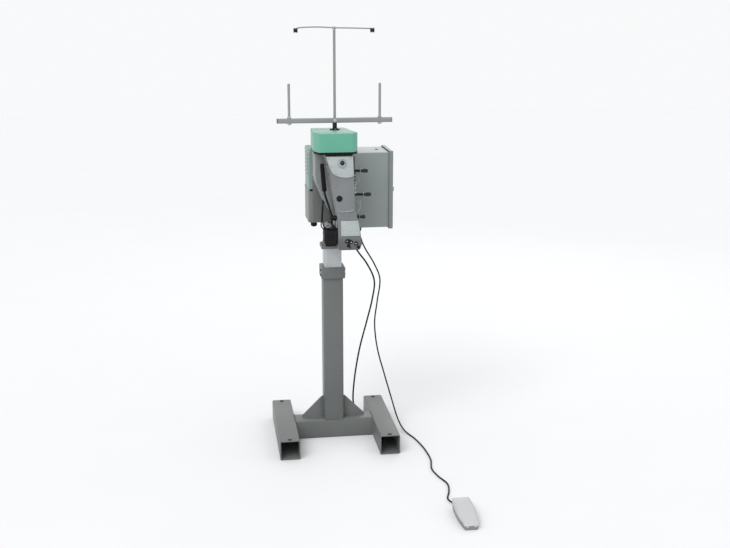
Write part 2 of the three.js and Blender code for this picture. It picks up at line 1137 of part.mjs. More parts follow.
// ---------------------------------------------------- needle, foot and feed
add(
  "needle_bar",
  turned("y", NEEDLE_X, NEEDLE_Z, [
    [0, 234],
    [4, 233],
    [4, 168],
    [2.2, 164],
    [1.1, 163],
    [1.1, 131],
    [0, 128],
  ], 14),
  STEEL,
  0.25,
  0.95,
);
add(
  "presser_foot",
  cut(
    join(
      rod("y", NEEDLE_X, PRESSER_Z, 4.5, -228, -136, 14),
      box(NEEDLE_X - 7, NEEDLE_X + 7, -146, -134, 892, 911),
      box(NEEDLE_X - 5, NEEDLE_X + 5, -138, -122, 892, 902),
      prism(
        "x",
        [
          [-124.6, 866],
          [-121.5, 868],
          [-121.5, 902],
          [-124.6, 904],
        ],
        NEEDLE_X - 26,
        NEEDLE_X + 22,
      ),
      prism(
        "z",
        [
          [NEEDLE_X + 21, -124.6],
          [NEEDLE_X + 36, -131],
          [NEEDLE_X + 35, -128],
          [NEEDLE_X + 22, -121.5],
          [NEEDLE_X + 21, -121.5],
        ],
        868,
        902,
      ),
    ),
    box(NEEDLE_X - 3, NEEDLE_X + 3, -130, -118, NEEDLE_Z - 3, NEEDLE_Z + 3),
  ),
  STEEL,
  0.3,
  0.9,
);
add(
  "needle_plate",
  cut(
    box(14.3, 75.7, BED_FACE - 1, BED_FACE + 2, 852.3, 924.7),
    rod("y", NEEDLE_X, NEEDLE_Z, 2, -130, -110, 12),
    box(NEEDLE_X - 18, NEEDLE_X + 18, -130, -110, 870, 876.5),
    box(NEEDLE_X - 18, NEEDLE_X + 18, -130, -110, 891.5, 898),
  ),
  STEEL,
  0.25,
  0.95,
);
{
  const rail = (z) =>
    box(NEEDLE_X - 13, NEEDLE_X + 13, -121.2, -112, z - 2.5, z + 2.5);
  add(
    "feed_dog",
    cut(
      join(
        rail(873.2),
        rail(894.8),
        box(NEEDLE_X - 13, NEEDLE_X + 13, -117, -106, 868, 900),
      ),
      box(NEEDLE_X - 6, NEEDLE_X + 6, -130, -100, NEEDLE_Z - 4, NEEDLE_Z + 7),
    ),
    STEEL,
    0.3,
    0.9,
  );
}
add(
  "looper",
  join(
    rod("z", 30, -92, 4.9, 847, 928, 14),
    prism(
      "z",
      [
        [29, -97],
        [46, -101],
        [54, -99],
        [46, -97],
        [30, -88],
      ],
      NEEDLE_Z + 2.2,
      NEEDLE_Z + 5,
    ),
  ),
  STEEL,
  0.25,
  0.95,
);

// ---------------------------------------------------------- thread tensions
const studs = {
  top: { z: 1136, face: 58, seat: 46, end: 108, nut: 100, tip: 118 },
  mid: { z: 1045, face: 61, seat: 46, end: 120, nut: 112, tip: 130 },
  low: { z: 958, face: 76.5, seat: 60, end: 101, nut: 97, tip: 108 },
};
for (const [key, s] of Object.entries(studs)) {
  add(
    "tension_stud_" + key,
    cut(
      turned("x", -185, s.z, [
        [0, s.seat],
        [3.9, s.seat],
        [3.9, s.face + 1.5],
        [9, s.face + 1.5],
        [9, s.face + 4],
        [3.5, s.face + 5],
        [3.5, s.nut - 14],
        [12, s.nut - 12],
        [10, s.nut - 10.5],
        [3.5, s.nut - 10],
        [3.5, s.end + 0.3],
        [0, s.end + 0.3],
      ], 18),
    ),
    STEEL,
    0.3,
    0.9,
  );
  add(
    "tension_nut_" + key,
    turned(
      "x",
      -185,
      s.z,
      [
        [3.9, s.nut - 8],
        [6, s.nut - 8],
        [6, s.nut],
        [9, s.nut],
        [9, s.tip - 3],
        [7.5, s.tip],
        [0, s.tip],
        [0, s.end + 0.8],
        [3.9, s.end + 0.8],
        [3.9, s.nut - 8],
      ],
      18,
    ),
    BLACK,
  );
}

// ---------------------------------------------------- presser lifter lever
{
  const a = [-21, LEVER_Y, LEVER_Z];
  const b = [-50.5, LEVER_Y - 2, 1058];
  const c = [-60, LEVER_Y - 4, 1166];
  add(
    "lifter_lever",
    join(
      turned("x", LEVER_Y, LEVER_Z, [
        [0, 2],
        [4, 2],
        [4, -7],
        [10, -7],
        [10, -14],
        [8, -28],
        [0, -29],
      ], 18),
      // Wings of the hub.
      box(-27, -19, LEVER_Y - 3, LEVER_Y + 3, LEVER_Z - 25, LEVER_Z + 12),
      box(-27, -20, LEVER_Y - 15, LEVER_Y + 15, LEVER_Z - 4, LEVER_Z + 4),
      strut(a, b, 3.2),
      strut(b, c, 3.2),
      solid(
        new THREE.SphereGeometry(3.3, 12, 8).translate(...b),
      ),
    ),
    BLACK,
  );
  const along = new THREE.Vector3(...c).sub(new THREE.Vector3(...b)).normalize();
  const at = (t) =>
    new THREE.Vector3(...b).addScaledVector(along, t).toArray();
  add(
    "lifter_grip",
    cut(
      join(strut(at(6), at(112), 7.6, 18), strut(at(8), at(60), 8.3, 18)),
      strut(at(-5), at(109.2), 3.5, 16),
    ),
    BLACK,
  );
}

// ------------------------------------------------------------- thread cutter
{
  add(
    "cutter_solenoid",
    cut(
      join(
        box(-56, -4.3, -236, -182, 866, 918),
        rod("y", -32, 892, 24, -238, -184, 24),
        rod("y", -40, 935, 9.5, -224, -190, 18),
        box(-46, -34, -222, -192, 915, 930),
        box(-16.5, -10, -184, -140, 886, 904),
        rod("x", -148, 895, 2.8, -12, -4.6, 14),
      ),
      rod("y", -9.5, 873, 2.9, -222, -180, 14),
      rod("y", -40, 935, 4, -230, -215, 14),
    ),
    BLACK,
  );
  add(
    "cutter_plunger",
    rod("y", -9.5, 873, 2.5, -216, -160.5, 14),
    STEEL,
    0.3,
    0.9,
  );
  add(
    "cutter_knife",
    cut(
      prism(
        "x",
        [
          [-153, 901],
          [-143, 901],
          [-142, 892],
          [-150, 880],
          [-134, 868],
          [-127, 857],
          [-131, 855],
          [-146, 864],
          [-159.5, 868],
          [-159.5, 879],
          [-156, 888],
        ],
        -9.6,
        -6.6,
      ),
      rod("x", -148, 895, 3.1, -12, -4, 14),
    ),
    STEEL,
    0.25,
    0.95,
  );
}

// -------------------------------------------------------------- thread stand
add(
  "stand_post",
  turned(
    "z",
    POST_X,
    POST_Y,
    [
      [0, GUARD_TOP + GAP],
      [19, GUARD_TOP + GAP],
      [19, GUARD_TOP + 4],
      [8.5, GUARD_TOP + 5],
      [8.5, BAR_Z0 - GAP],
      [5, BAR_Z0 - GAP],
      [5, POST_TOP],
      [0, POST_TOP],
    ],
    20,
  ),
  0x8b9290,
  0.45,
  0.6,
);
add(
  "spool_bar",
  cut(
    prism(
      "x",
      rounded(POST_Y - 10, POST_Y + 10, BAR_Z0, BAR_Z1, 4),
      POST_X - BAR_HALF,
      POST_X + BAR_HALF,
    ),
    rod("z", POST_X, POST_Y, 5.3, BAR_Z0 - 5, BAR_Z1 + 5),
    rod("z", POST_X - PIN_OFFSET, POST_Y, 5.3, BAR_Z0 - 5, BAR_Z1 + 5, 16),
    rod("z", POST_X + PIN_OFFSET, POST_Y, 5.3, BAR_Z0 - 5, BAR_Z1 + 5, 16),
  ),
  0x8b8f8e,
  0.45,
  0.5,
);
for (const [side, s] of [
  ["left", -1],
  ["right", 1],
]) {
  add(
    "spool_pin_" + side,
    turned(
      "z",
      POST_X + s * PIN_OFFSET,
      POST_Y,
      [
        [0, BAR_Z0 + 2],
        [5, BAR_Z0 + 2],
        [5, BAR_Z1 + GAP],
        [8, BAR_Z1 + GAP],
        [8, BAR_Z1 + 3],
        [5, BAR_Z1 + 3],
        [5, PIN_TOP - 2],
        [3, PIN_TOP],
        [0, PIN_TOP],
      ],
      16,
    ),
    0x8b8f8e,
    0.45,
    0.5,
  );
}
{
  const z = GUIDE_Z;
  const eye = (s) => {
    const g = new THREE.TorusGeometry(7, 2.6, 6, 14);
    g.rotateY(Math.PI / 2);
    g.translate(POST_X + s * GUIDE_HALF, POST_Y, z - 9);
    return solid(g);
  };
  add(
    "guide_bar",
    join(
      sweep(
        [
          [POST_X - GUIDE_HALF, POST_Y, z - 4],
          [POST_X - GUIDE_HALF + 18, POST_Y, z + 1],
          [POST_X - 60, POST_Y, z + 3],
          [POST_X, POST_Y, z],
          [POST_X + 60, POST_Y, z - 1],
          [POST_X + GUIDE_HALF - 12, POST_Y, z - 3],
          [POST_X + GUIDE_HALF, POST_Y, z - 4],
        ],
        2.6,
        8,
        20,
      ),
      eye(-1),
      eye(1),
      rod("z", POST_X, POST_Y, 6.5, POST_TOP + GAP, z + 5, 16),
    ),
    0x4a4e4d,
    0.4,
    0.6,
  );
}

// --------------------------------------------------------------- foot switch
{
  const x = PEDAL_X;
  const trapezoid = (back, front, wb, wf, y0, y1, grow = 0) => [
    [x - wf - grow, y1],
    [x + wf + grow, y1],
    [x + wb + grow, y0],
    [x - wb - grow, y0],
  ];
  const plan = trapezoid(0, 0, 35, 26, PEDAL_BACK, PEDAL_FRONT);
  const inner = trapezoid(0, 0, 32, 23, PEDAL_BACK - 4, PEDAL_FRONT + 12);
  add(
    "pedal_base",
    cut(
      prism("z", plan, 0, 20),
      prism("z", inner, 4, 30),
      rod("y", x - 10, 11, FOOT_R + 0.8, PEDAL_BACK - 10, PEDAL_BACK + 10, 12),
      rod("x", PEDAL_FRONT + 22, 13, 2.6, x - 60, x + 60, 12),
      box(x - 60, x + 60, PEDAL_FRONT - 5, PEDAL_FRONT + 17, 15.5, 30),
    ),
    0x9c9fa1,
  );
  // Treadle: a wedge-shaped pan over the base, hinged near the heel.
  const outline = [
    [PEDAL_FRONT - 2, 16],
    [PEDAL_FRONT + 3, 21],
    [PEDAL_BACK - 14, 42],
    [PEDAL_BACK - 2, 41],
    [PEDAL_BACK - 2, 34],
    [PEDAL_BACK - 18, 30],
    [PEDAL_FRONT + 40, 22.5],
    [PEDAL_FRONT + 14, 20.4],
  ];
  const cap = prism("x", outline, x - 38, x + 38).intersect(
    prism("z", trapezoid(0, 0, 36, 28, PEDAL_BACK, PEDAL_FRONT - 4), -5, 60),
  );
  const lugs = [-1, 1].map((s) =>
    prism(
      "x",
      [
        [PEDAL_FRONT + 15, 23],
        [PEDAL_FRONT + 16, 9],
        [PEDAL_FRONT + 28, 9],
        [PEDAL_FRONT + 30, 24],
      ],
      x + s * 16 - 2,
      x + s * 16 + 2,
    ),
  );
  add(
    "pedal_treadle",
    cut(
      join(cap, ...lugs),
      rod("x", PEDAL_FRONT + 22, 13, 2.9, x - 60, x + 60, 12),
    ),
    IVORY,
  );
  add(
    "pedal_pin",
    rod("x", PEDAL_FRONT + 22, 13, 2.3, x - 26, x + 26, 12),
    STEEL,
    0.3,
    0.9,
  );
}

// --------------------------------------------------------------------- leads
add(
  "foot_cord",
  sweep(
    [
      [125, 110, CBOX.z0 + 6],
      [125, 110, 856],
      [125, 110, 841],
      [125, 110, 830],
      [150, 111, 770],
      [190, 112, 700],
      [214, 112, 634],
      [203, 112, 540],
      [192, 112, 443],
      [204, 110, 330],
      [232, 104, 221],
      [262, 84, 110],
      [280, 44, 40],
      [293, -6, 12],
      [306, -48, FOOT_R + 1.6],
      [326, -110, FOOT_R + 0.6],
      [343, -209, FOOT_R + 0.6],
      [348, -332, FOOT_R + 0.6],
      [334, -420, FOOT_R + 0.6],
      [344, -491, FOOT_R + 0.6],
      [364, -562, FOOT_R + 0.6],
      [355, -629, FOOT_R + 0.6],
      [338, -686, FOOT_R + 0.6],
      [344, -726, 7],
      [356, -748, 11],
      [356, PEDAL_BACK + 6, 11],
      [356, PEDAL_BACK - 3, 11],
    ],
    FOOT_R,
    8,
    80,
  ),
  BLACK,
);
add(
  "mains_cord",
  sweep(
    [
      [90, 110, CBOX.z0 + 6],
      [90, 110, 856],
      [90, 110, 841],
      [90, 110, 830],
      [112, 111, 770],
      [160, 112, 700],
      [190, 112, 629],
      [182, 112, 550],
      [160, 112, 459],
      [130, 116, 340],
      [112, 124, 232],
      [104, 132, 150],
      [102, 134, 98],
      [106.5, 131.5, 66],
      [109.5, 128.4, 45],
      [111, 124, 32.5],
    ],
    MAINS_R,
    8,
    60,
  ),
  BLACK,
);
add(
  "mains_coil",
  turned(
    "z",
    85,
    100,
    [
      [27, 3],
      [30, 0.2],
      [46, 0.2],
      [49, 3],
      [49, 22],
      [45, 26],
      [31, 26],
      [27, 22],
      [27, 3],
    ],
    28,
  ),
  BLACK,
);
add(
  "mains_plug",
  join(
    prism("z", rounded(20, 55, 150, 186, 8), 0.2, 26),
    rod("y", 29.5, 13, 2.2, 184, 204, 10),
    rod("y", 45.5, 13, 2.2, 184, 204, 10),
    // The last of the lead, from the coil to the plug.
    sweep(
      [
        [38.1, 127, 9],
        [37.8, 134, 11.5],
        [37.6, 142, 13],
        [37.6, 153, 13],
      ],
      MAINS_R,
      8,
      12,
    ),
  ),
  BLACK,
);

export default group;
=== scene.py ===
import bpy, bmesh, math, json
from mathutils import Vector, Matrix, Quaternion


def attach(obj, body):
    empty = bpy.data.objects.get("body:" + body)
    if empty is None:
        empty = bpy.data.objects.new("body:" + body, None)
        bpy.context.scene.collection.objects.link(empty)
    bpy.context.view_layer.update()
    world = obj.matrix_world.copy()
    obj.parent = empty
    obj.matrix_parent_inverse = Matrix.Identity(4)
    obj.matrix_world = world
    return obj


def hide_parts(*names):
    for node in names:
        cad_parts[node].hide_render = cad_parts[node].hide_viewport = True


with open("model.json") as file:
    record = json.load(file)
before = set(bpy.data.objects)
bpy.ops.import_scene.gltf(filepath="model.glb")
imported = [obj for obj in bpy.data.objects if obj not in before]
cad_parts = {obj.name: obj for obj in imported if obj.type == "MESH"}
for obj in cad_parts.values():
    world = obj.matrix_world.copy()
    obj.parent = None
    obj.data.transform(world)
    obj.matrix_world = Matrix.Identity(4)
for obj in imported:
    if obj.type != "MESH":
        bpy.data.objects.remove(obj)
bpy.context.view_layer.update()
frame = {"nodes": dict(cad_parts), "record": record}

NODES = frame["nodes"]
COL = bpy.context.scene.collection
PI = math.pi

# ------------------------------------------------------------------ camera
cam_data = bpy.data.cameras.new("camera")
cam_data.sensor_width = 36.0
cam_data.lens = 54.0
cam_data.clip_start = 0.05
cam_data.clip_end = 60.0
cam = bpy.data.objects.new("camera", cam_data)
COL.objects.link(cam)
cam.location = (-0.497, -4.28, 1.75)
AIM = Vector((0.105, -0.2, 0.735))
cam.rotation_euler = (AIM - cam.location).to_track_quat("-Z", "Y").to_euler()
bpy.context.scene.camera = cam


# --------------------------------------------------------------- materials
def lin(rgb):
    out = []
    for c in rgb:
        c = c / 255.0
        out.append(c / 12.92 if c <= 0.04045 else ((c + 0.055) / 1.055) ** 2.4)
    return out


def mul(c, k):
    return [min(1.0, x * k) for x in c]


class Graph:
    def __init__(s, name):
        s.m = bpy.data.materials.new(name)
        s.m.use_nodes = True
        s.t = s.m.node_tree
        s.t.nodes.clear()
        s.out = s.t.nodes.new("ShaderNodeOutputMaterial")
        s.b = s.t.nodes.new("ShaderNodeBsdfPrincipled")
        s.link(s.b.outputs[0], s.out.inputs[0])
        s.tc = s.t.nodes.new("ShaderNodeTexCoord")
        s.geo = None

    def link(s, a, b):
        s.t.links.new(a, b)

    def put(s, socket, v):
        if hasattr(v, "links"):
            s.link(v, socket)
        elif isinstance(v, (list, tuple)) and len(v) == 3 and len(socket.default_value) == 4:
            socket.default_value = (*v, 1.0)
        else:
            socket.default_value = v

    def coords(s, stretch=(1, 1, 1)):
        mp = s.t.nodes.new("ShaderNodeMapping")
        s.link(s.tc.outputs["Object"], mp.inputs["Vector"])
        mp.inputs["Scale"].default_value = stretch
        return mp.outputs["Vector"]

    def noise(s, scale, detail=4, rough=0.55, stretch=(1, 1, 1), distort=0.0):
        n = s.t.nodes.new("ShaderNodeTexNoise")
        s.link(s.coords(stretch), n.inputs["Vector"])
        n.inputs["Scale"].default_value = scale
        n.inputs["Detail"].default_value = detail
        n.inputs["Roughness"].default_value = rough
        n.inputs["Distortion"].default_value = distort
        return n.outputs["Fac"]

    def voronoi(s, scale, feature="F1", stretch=(1, 1, 1)):
        n = s.t.nodes.new("ShaderNodeTexVoronoi")
        n.feature = feature
        s.link(s.coords(stretch), n.inputs["Vector"])
        n.inputs["Scale"].default_value = scale
        return n.outputs["Distance"]

    def wave(s, scale, axis="Z", distort=0.0, stretch=(1, 1, 1)):
        n = s.t.nodes.new("ShaderNodeTexWave")
        n.wave_type = "BANDS"
        n.bands_direction = axis
        s.link(s.coords(stretch), n.inputs["Vector"])
        n.inputs["Scale"].default_value = scale
        n.inputs["Distortion"].default_value = distort
        return n.outputs["Fac"]

    def span(s, v, a, b, c=0.0, d=1.0):
        n = s.t.nodes.new("ShaderNodeMapRange")
        n.clamp = True
        s.link(v, n.inputs["Value"])
        n.inputs["From Min"].default_value = a
        n.inputs["From Max"].default_value = b
        n.inputs["To Min"].default_value = c
        n.inputs["To Max"].default_value = d
        return n.outputs["Result"]

    def op(s, kind, a, b=0.0):
        n = s.t.nodes.new("ShaderNodeMath")
        n.operation = kind
        s.put(n.inputs[0], a)
        s.put(n.inputs[1], b)
        return n.outputs[0]

    def mix(s, f, a, b):
        n = s.t.nodes.new("ShaderNodeMix")
        n.data_type = "RGBA"
        s.put(n.inputs[0], f)
        s.put(n.inputs[6], a)
        s.put(n.inputs[7], b)
        return n.outputs[2]

    def edges(s, lo=0.03, hi=0.2, radius=0.0012):
        """Convex edges only: where a rounded normal leaves the true one."""
        if s.geo is None:
            s.geo = s.t.nodes.new("ShaderNodeNewGeometry")
        bv = s.t.nodes.new("ShaderNodeBevel")
        bv.samples = 4
        bv.inputs["Radius"].default_value = radius
        dot = s.t.nodes.new("ShaderNodeVectorMath")
        dot.operation = "DOT_PRODUCT"
        s.link(bv.outputs[0], dot.inputs[0])
        s.link(s.geo.outputs["True Normal"], dot.inputs[1])
        rim = s.span(s.op("SUBTRACT", 1.0, dot.outputs["Value"]), lo, hi)
        return s.op("MULTIPLY", rim, s.span(s.geo.outputs["Pointiness"], 0.5, 0.515))

    def upward(s, lo=0.75, hi=1.0):
        if s.geo is None:
            s.geo = s.t.nodes.new("ShaderNodeNewGeometry")
        sep = s.t.nodes.new("ShaderNodeSeparateXYZ")
        s.link(s.geo.outputs["Normal"], sep.inputs[0])
        return s.span(sep.outputs["Z"], lo, hi)

    def bump(s, h, strength, distance, under=None):
        n = s.t.nodes.new("ShaderNodeBump")
        s.link(h, n.inputs["Height"])
        n.inputs["Strength"].default_value = strength
        n.inputs["Distance"].default_value = distance
        if under is not None:
            s.link(under, n.inputs["Normal"])
        return n.outputs["Normal"]


def paint(name, rgb, rough=0.42, vary=0.05, scale=7.0, peel=0.25, peel_scale=700,
          grime=0.3, wear=0.5, wear_rgb=(150, 151, 153), dust_and_top_light=0.05, metal=0.0,
          spec=0.5):
    g = Graph(name)
    g.b.inputs["Specular IOR Level"].default_value = spec
    base = lin(rgb)
    n1 = g.noise(scale, 5, 0.6)
    n2 = g.noise(scale * 16, 4, 0.6)
    n3 = g.noise(3.0, 6, 0.65, (9, 9, 1.3))
    c = g.mix(g.span(n1, 0.3, 0.7), mul(base, 1 - vary), mul(base, 1 + vary))
    c = g.mix(g.span(n2, 0.5, 0.8, 0, 0.14), c, mul(base, 0.9))
    dirt = g.op("MULTIPLY", g.span(n3, 0.55, 0.85), grime * 0.6)
    c = g.mix(dirt, c, [base[0] * 0.72, base[1] * 0.7, base[2] * 0.66])
    # Upward faces mixed towards a pale grey: dust, and with the larger amounts a painted highlight for the light
    # falling on the tops.
    c = g.mix(g.op("MULTIPLY", g.upward(), g.span(n1, 0.3, 0.7, dust_and_top_light * 0.82, dust_and_top_light)), c,
              lin((206, 209, 206)))
    worn = g.op("MULTIPLY", g.edges(), g.span(g.noise(90, 4, 0.7), 0.48, 0.62, 0, wear))
    c = g.mix(worn, c, lin(wear_rgb))
    g.link(c, g.b.inputs["Base Color"])
    r = g.op("ADD", g.span(n2, 0.3, 0.75, rough - 0.05, rough + 0.08), g.op("MULTIPLY", dirt, 0.35))
    g.link(r, g.b.inputs["Roughness"])
    if metal:
        g.b.inputs["Metallic"].default_value = metal
    else:
        g.link(g.op("MULTIPLY", worn, 0.7), g.b.inputs["Metallic"])
    soft = g.bump(g.noise(55, 3, 0.5), 0.1, 0.0008)
    g.link(g.bump(g.noise(peel_scale, 3, 0.5), peel, 0.0003, soft), g.b.inputs["Normal"])
    return g.m


def hammered(name, rgb, rough=0.38, metal=0.35, cell=260, strength=0.35, vary=0.08,
             grime=0.35, wear=0.5):
    g = Graph(name)
    base = lin(rgb)
    n1 = g.noise(8, 5, 0.6)
    n2 = g.noise(120, 4, 0.6)
    v = g.voronoi(cell, "SMOOTH_F1")
    c = g.mix(g.span(n1, 0.3, 0.7), mul(base, 1 - vary), mul(base, 1 + vary))
    c = g.mix(g.span(v, 0.25, 0.75, 0.0, 0.4), c, mul(base, 0.78))
    dirt = g.op("MULTIPLY", g.span(g.noise(5, 7, 0.7, (4, 4, 1.5)), 0.52, 0.78), grime)
    c = g.mix(dirt, c, [base[0] * 0.5, base[1] * 0.46, base[2] * 0.4])
    worn = g.op("MULTIPLY", g.edges(), g.span(n2, 0.42, 0.6, 0, wear))
    c = g.mix(worn, c, lin((205, 207, 208)))
    g.link(c, g.b.inputs["Base Color"])
    g.link(g.op("ADD", g.span(n2, 0.3, 0.7, rough - 0.06, rough + 0.08),
                g.op("MULTIPLY", dirt, 0.3)), g.b.inputs["Roughness"])
    g.link(g.op("MAXIMUM", g.op("MULTIPLY", worn, 0.9), metal), g.b.inputs["Metallic"])
    soft = g.bump(g.noise(40, 3, 0.5), 0.15, 0.001)
    g.link(g.bump(v, strength, 0.0006, soft), g.b.inputs["Normal"])
    return g.m


def brushed(name, rgb, rough=0.3, metal=0.95, stretch=(1, 1, 0.03), lines=1500,
            strength=0.12, oil=0.3, vary=0.08):
    g = Graph(name)
    base = lin(rgb)
    l = g.noise(lines, 4, 0.6, stretch)
    n1 = g.noise(22, 5, 0.6)
    c = g.mix(g.span(l, 0.3, 0.7), mul(base, 1 - vary), mul(base, 1 + vary))
    stain = g.op("MULTIPLY", g.span(n1, 0.52, 0.72), oil)
    c = g.mix(stain, c, [base[0] * 0.5, base[1] * 0.45, base[2] * 0.38])
    g.link(c, g.b.inputs["Base Color"])
    g.link(g.op("ADD", g.span(l, 0.3, 0.7, rough - 0.08, rough + 0.1),
                g.op("MULTIPLY", stain, 0.25)), g.b.inputs["Roughness"])
    g.b.inputs["Metallic"].default_value = metal
    g.link(g.bump(l, strength, 0.0002), g.b.inputs["Normal"])
    return g.m


def plastic(name, rgb, rough=0.45, grain=900, strength=0.2, vary=0.07, scuff=0.35, spec=0.5):
    g = Graph(name)
    g.b.inputs["Specular IOR Level"].default_value = spec
    base = lin(rgb)
    n1 = g.noise(26, 5, 0.6)
    n2 = g.noise(grain, 3, 0.5)
    c = g.mix(g.span(n1, 0.3, 0.7), mul(base, 1 - vary), mul(base, 1 + vary * 1.6))
    sc = g.op("MULTIPLY", g.edges(), g.span(g.noise(160, 5, 0.7), 0.45, 0.65, 0, scuff))
    c = g.mix(sc, c, [b * 0.6 + 0.08 for b in base])
    c = g.mix(g.op("MULTIPLY", g.upward(), 0.04), c, lin((150, 146, 140)))
    g.link(c, g.b.inputs["Base Color"])
    g.link(g.span(n1, 0.3, 0.7, rough - 0.07, rough + 0.1), g.b.inputs["Roughness"])
    g.link(g.bump(n2, strength, 0.0002), g.b.inputs["Normal"])
    return g.m


def rubber(name, rgb=(9, 9, 10), rough=0.6):
    g = Graph(name)
    g.b.inputs["Specular IOR Level"].default_value = 0.16
    base = lin(rgb)
    n1 = g.noise(30, 5, 0.6)
    c = g.mix(g.span(n1, 0.35, 0.65), base, [b * 1.6 + 0.002 for b in base])
    c = g.mix(g.op("MULTIPLY", g.upward(0.3, 1.0), g.span(g.noise(200, 3), 0.4, 0.7, 0.01, 0.05)), c,
              lin((140, 136, 130)))
    g.link(c, g.b.inputs["Base Color"])
    g.link(g.span(n1, 0.3, 0.7, rough - 0.1, rough + 0.1), g.b.inputs["Roughness"])
    g.link(g.bump(g.noise(1400, 2), 0.25, 0.0002), g.b.inputs["Normal"])
    return g.m


M = {
    "frame": paint("enamel_frame_grey", (92, 95, 94), rough=0.4, grime=0.35),
    # The box, door and mint green guard have much more pale grey on their upward faces: painted highlight for light
    # falling on their tops, besides dust.
    "box": paint("enamel_box_grey", (133, 140, 139), rough=0.38, vary=0.03, grime=0.16, dust_and_top_light=0.42),
    # Door pan: the box's grey enamel made darker, as painted shade on the door.
    "door": paint("enamel_door_painted_shade", (120, 127, 126), rough=0.38, vary=0.03, grime=0.18, dust_and_top_light=0.3),
    "motor": paint("enamel_green_grey", (124, 146, 138), rough=0.42, vary=0.045, grime=0.25),
    "cover": paint("enamel_low_cover", (121, 122, 121), rough=0.45, vary=0.05, grime=0.3),
    "green": paint("enamel_mint_green", (86, 155, 132), rough=0.34, vary=0.045, grime=0.2,
                   wear_rgb=(168, 182, 176), dust_and_top_light=0.34),
    "cast": hammered("cast_silver_grey", (132, 135, 137)),
    "cast_dark": hammered("cast_lower_grey", (104, 107, 108), cell=220, grime=0.5),
    "bright": brushed("bright_cover", (176, 183, 183), rough=0.3, metal=0.75,
                      stretch=(0.04, 1, 1), lines=900, strength=0.1, oil=0.12),
    "steel": brushed("ground_steel", (176, 180, 182), rough=0.28),
    "steel_y": brushed("ground_steel_y", (176, 180, 182), rough=0.26, stretch=(1, 0.03, 1)),
    "steel_x": brushed("ground_steel_x", (170, 174, 176), rough=0.3, stretch=(0.03, 1, 1)),
    "zinc": brushed("zinc_screw", (188, 188, 182), rough=0.34, stretch=(1, 1, 1), lines=700,
                    strength=0.08, oil=0.35),
    "blackox": brushed("black_oxide", (30, 31, 33), rough=0.45, metal=0.6, stretch=(1, 1, 1),
                       lines=600, strength=0.1, oil=0.2),
    "bar": paint("enamel_bar_grey", (128, 132, 131), rough=0.38, vary=0.05, grime=0.2, wear=0.7),
    "bronze": brushed("bronze_nut", (176, 148, 84), rough=0.35),
    "black": plastic("black_moulded", (10, 11, 11), spec=0.22, scuff=0.2),
    "blackgloss": plastic("black_gloss", (10, 11, 11), rough=0.28, strength=0.06, spec=0.4, scuff=0.2),
    "blackpaint": paint("black_enamel", (8, 9, 9), rough=0.42, vary=0.15, grime=0.1,
                        wear=0.35, wear_rgb=(84, 84, 86), dust_and_top_light=0.008, spec=0.2),
    "rubber": rubber("black_rubber"),
    "pvc": rubber("black_pvc", (9, 9, 10), 0.5),
    "greenbtn": plastic("green_button", (30, 146, 76), rough=0.3, strength=0.06),
    "redbtn": plastic("red_button", (186, 28, 25), rough=0.3, strength=0.06),
    "ivory": paint("enamel_pedal", (178, 178, 180), rough=0.42, vary=0.03, grime=0.3,
                   wear_rgb=(140, 140, 141), wear=0.7, dust_and_top_light=0.02),
    # Darker grey for the pedal base and the treadle's side skirt: painted shade on the pedal's sides.
    "pedal_shaded_grey": paint("enamel_pedal_painted_shade", (122, 124, 126), rough=0.45, grime=0.4),
    "amber": plastic("relay_white", (206, 204, 196), rough=0.4, strength=0.1),
    "wire_blue": plastic("wire_blue", (44, 74, 140), rough=0.4, strength=0.05),
    "wire_brown": plastic("wire_brown", (96, 60, 40), rough=0.4, strength=0.05),
    "oilglass": plastic("sight_glass", (58, 46, 24), rough=0.12, strength=0.02),
}


# Head casting: painted arm above the seam, bare darker casting below it.
def head_cast():
    g = Graph("cast_head_two_tone")
    up = lin((124, 127, 129))
    low = lin((117, 120, 121))
    sep = g.t.nodes.new("ShaderNodeSeparateXYZ")
    g.link(g.tc.outputs["Object"], sep.inputs[0])
    zsplit = g.span(sep.outputs["Z"], 0.9845, 0.9855)
    n1 = g.noise(9, 5, 0.6)
    n2 = g.noise(130, 4, 0.6)
    v = g.voronoi(250, "SMOOTH_F1")
    cu = g.mix(g.span(n1, 0.3, 0.7), mul(up, 0.9), mul(up, 1.08))
    cu = g.mix(g.span(v, 0.2, 0.7, 0.0, 0.4), cu, mul(up, 0.82))
    toe = lin((92, 94, 95))
    deep = g.span(sep.outputs["Z"], 0.872, 0.902)
    cl = g.mix(g.span(n2, 0.35, 0.65), g.mix(deep, mul(toe, 0.86), mul(low, 0.9)),
               g.mix(deep, mul(toe, 1.16), mul(low, 1.1)))
    c = g.mix(zsplit, cl, cu)
    dirt = g.op("MULTIPLY", g.span(g.noise(6, 7, 0.7, (4, 4, 1.4)), 0.5, 0.85), 0.3)
    c = g.mix(dirt, c, lin((84, 81, 76)))
    worn = g.op("MULTIPLY", g.edges(), g.span(n2, 0.4, 0.6, 0, 0.6))
    c = g.mix(worn, c, lin((210, 211, 212)))
    g.link(c, g.b.inputs["Base Color"])
    g.link(g.op("ADD", g.span(n2, 0.3, 0.7, 0.32, 0.5), g.op("MULTIPLY", dirt, 0.3)),
           g.b.inputs["Roughness"])
    g.link(g.op("MAXIMUM", g.op("MULTIPLY", worn, 0.9), 0.4), g.b.inputs["Metallic"])
    soft = g.bump(g.noise(42, 3, 0.5), 0.18, 0.001)
    g.link(g.bump(v, 0.4, 0.0006, soft), g.b.inputs["Normal"])
    return g.m


M["head"] = head_cast()


# ---------------------------------------------------------- mesh utilities
def place(axis, u, v, w):
    return {"z": (u, v, w), "x": (w, u, v), "y": (u, w, v)}[axis]


def bevel(bm, width, seg=2, angle=28):
    if width <= 0:
        return bm
    es = [e for e in bm.edges if len(e.link_faces) == 2
          and e.calc_face_angle(0.0) > math.radians(angle)]
    bmesh.ops.bevel(bm, geom=es, offset=width, segments=seg, profile=0.5,
                    affect="EDGES", clamp_overlap=True)
    return bm


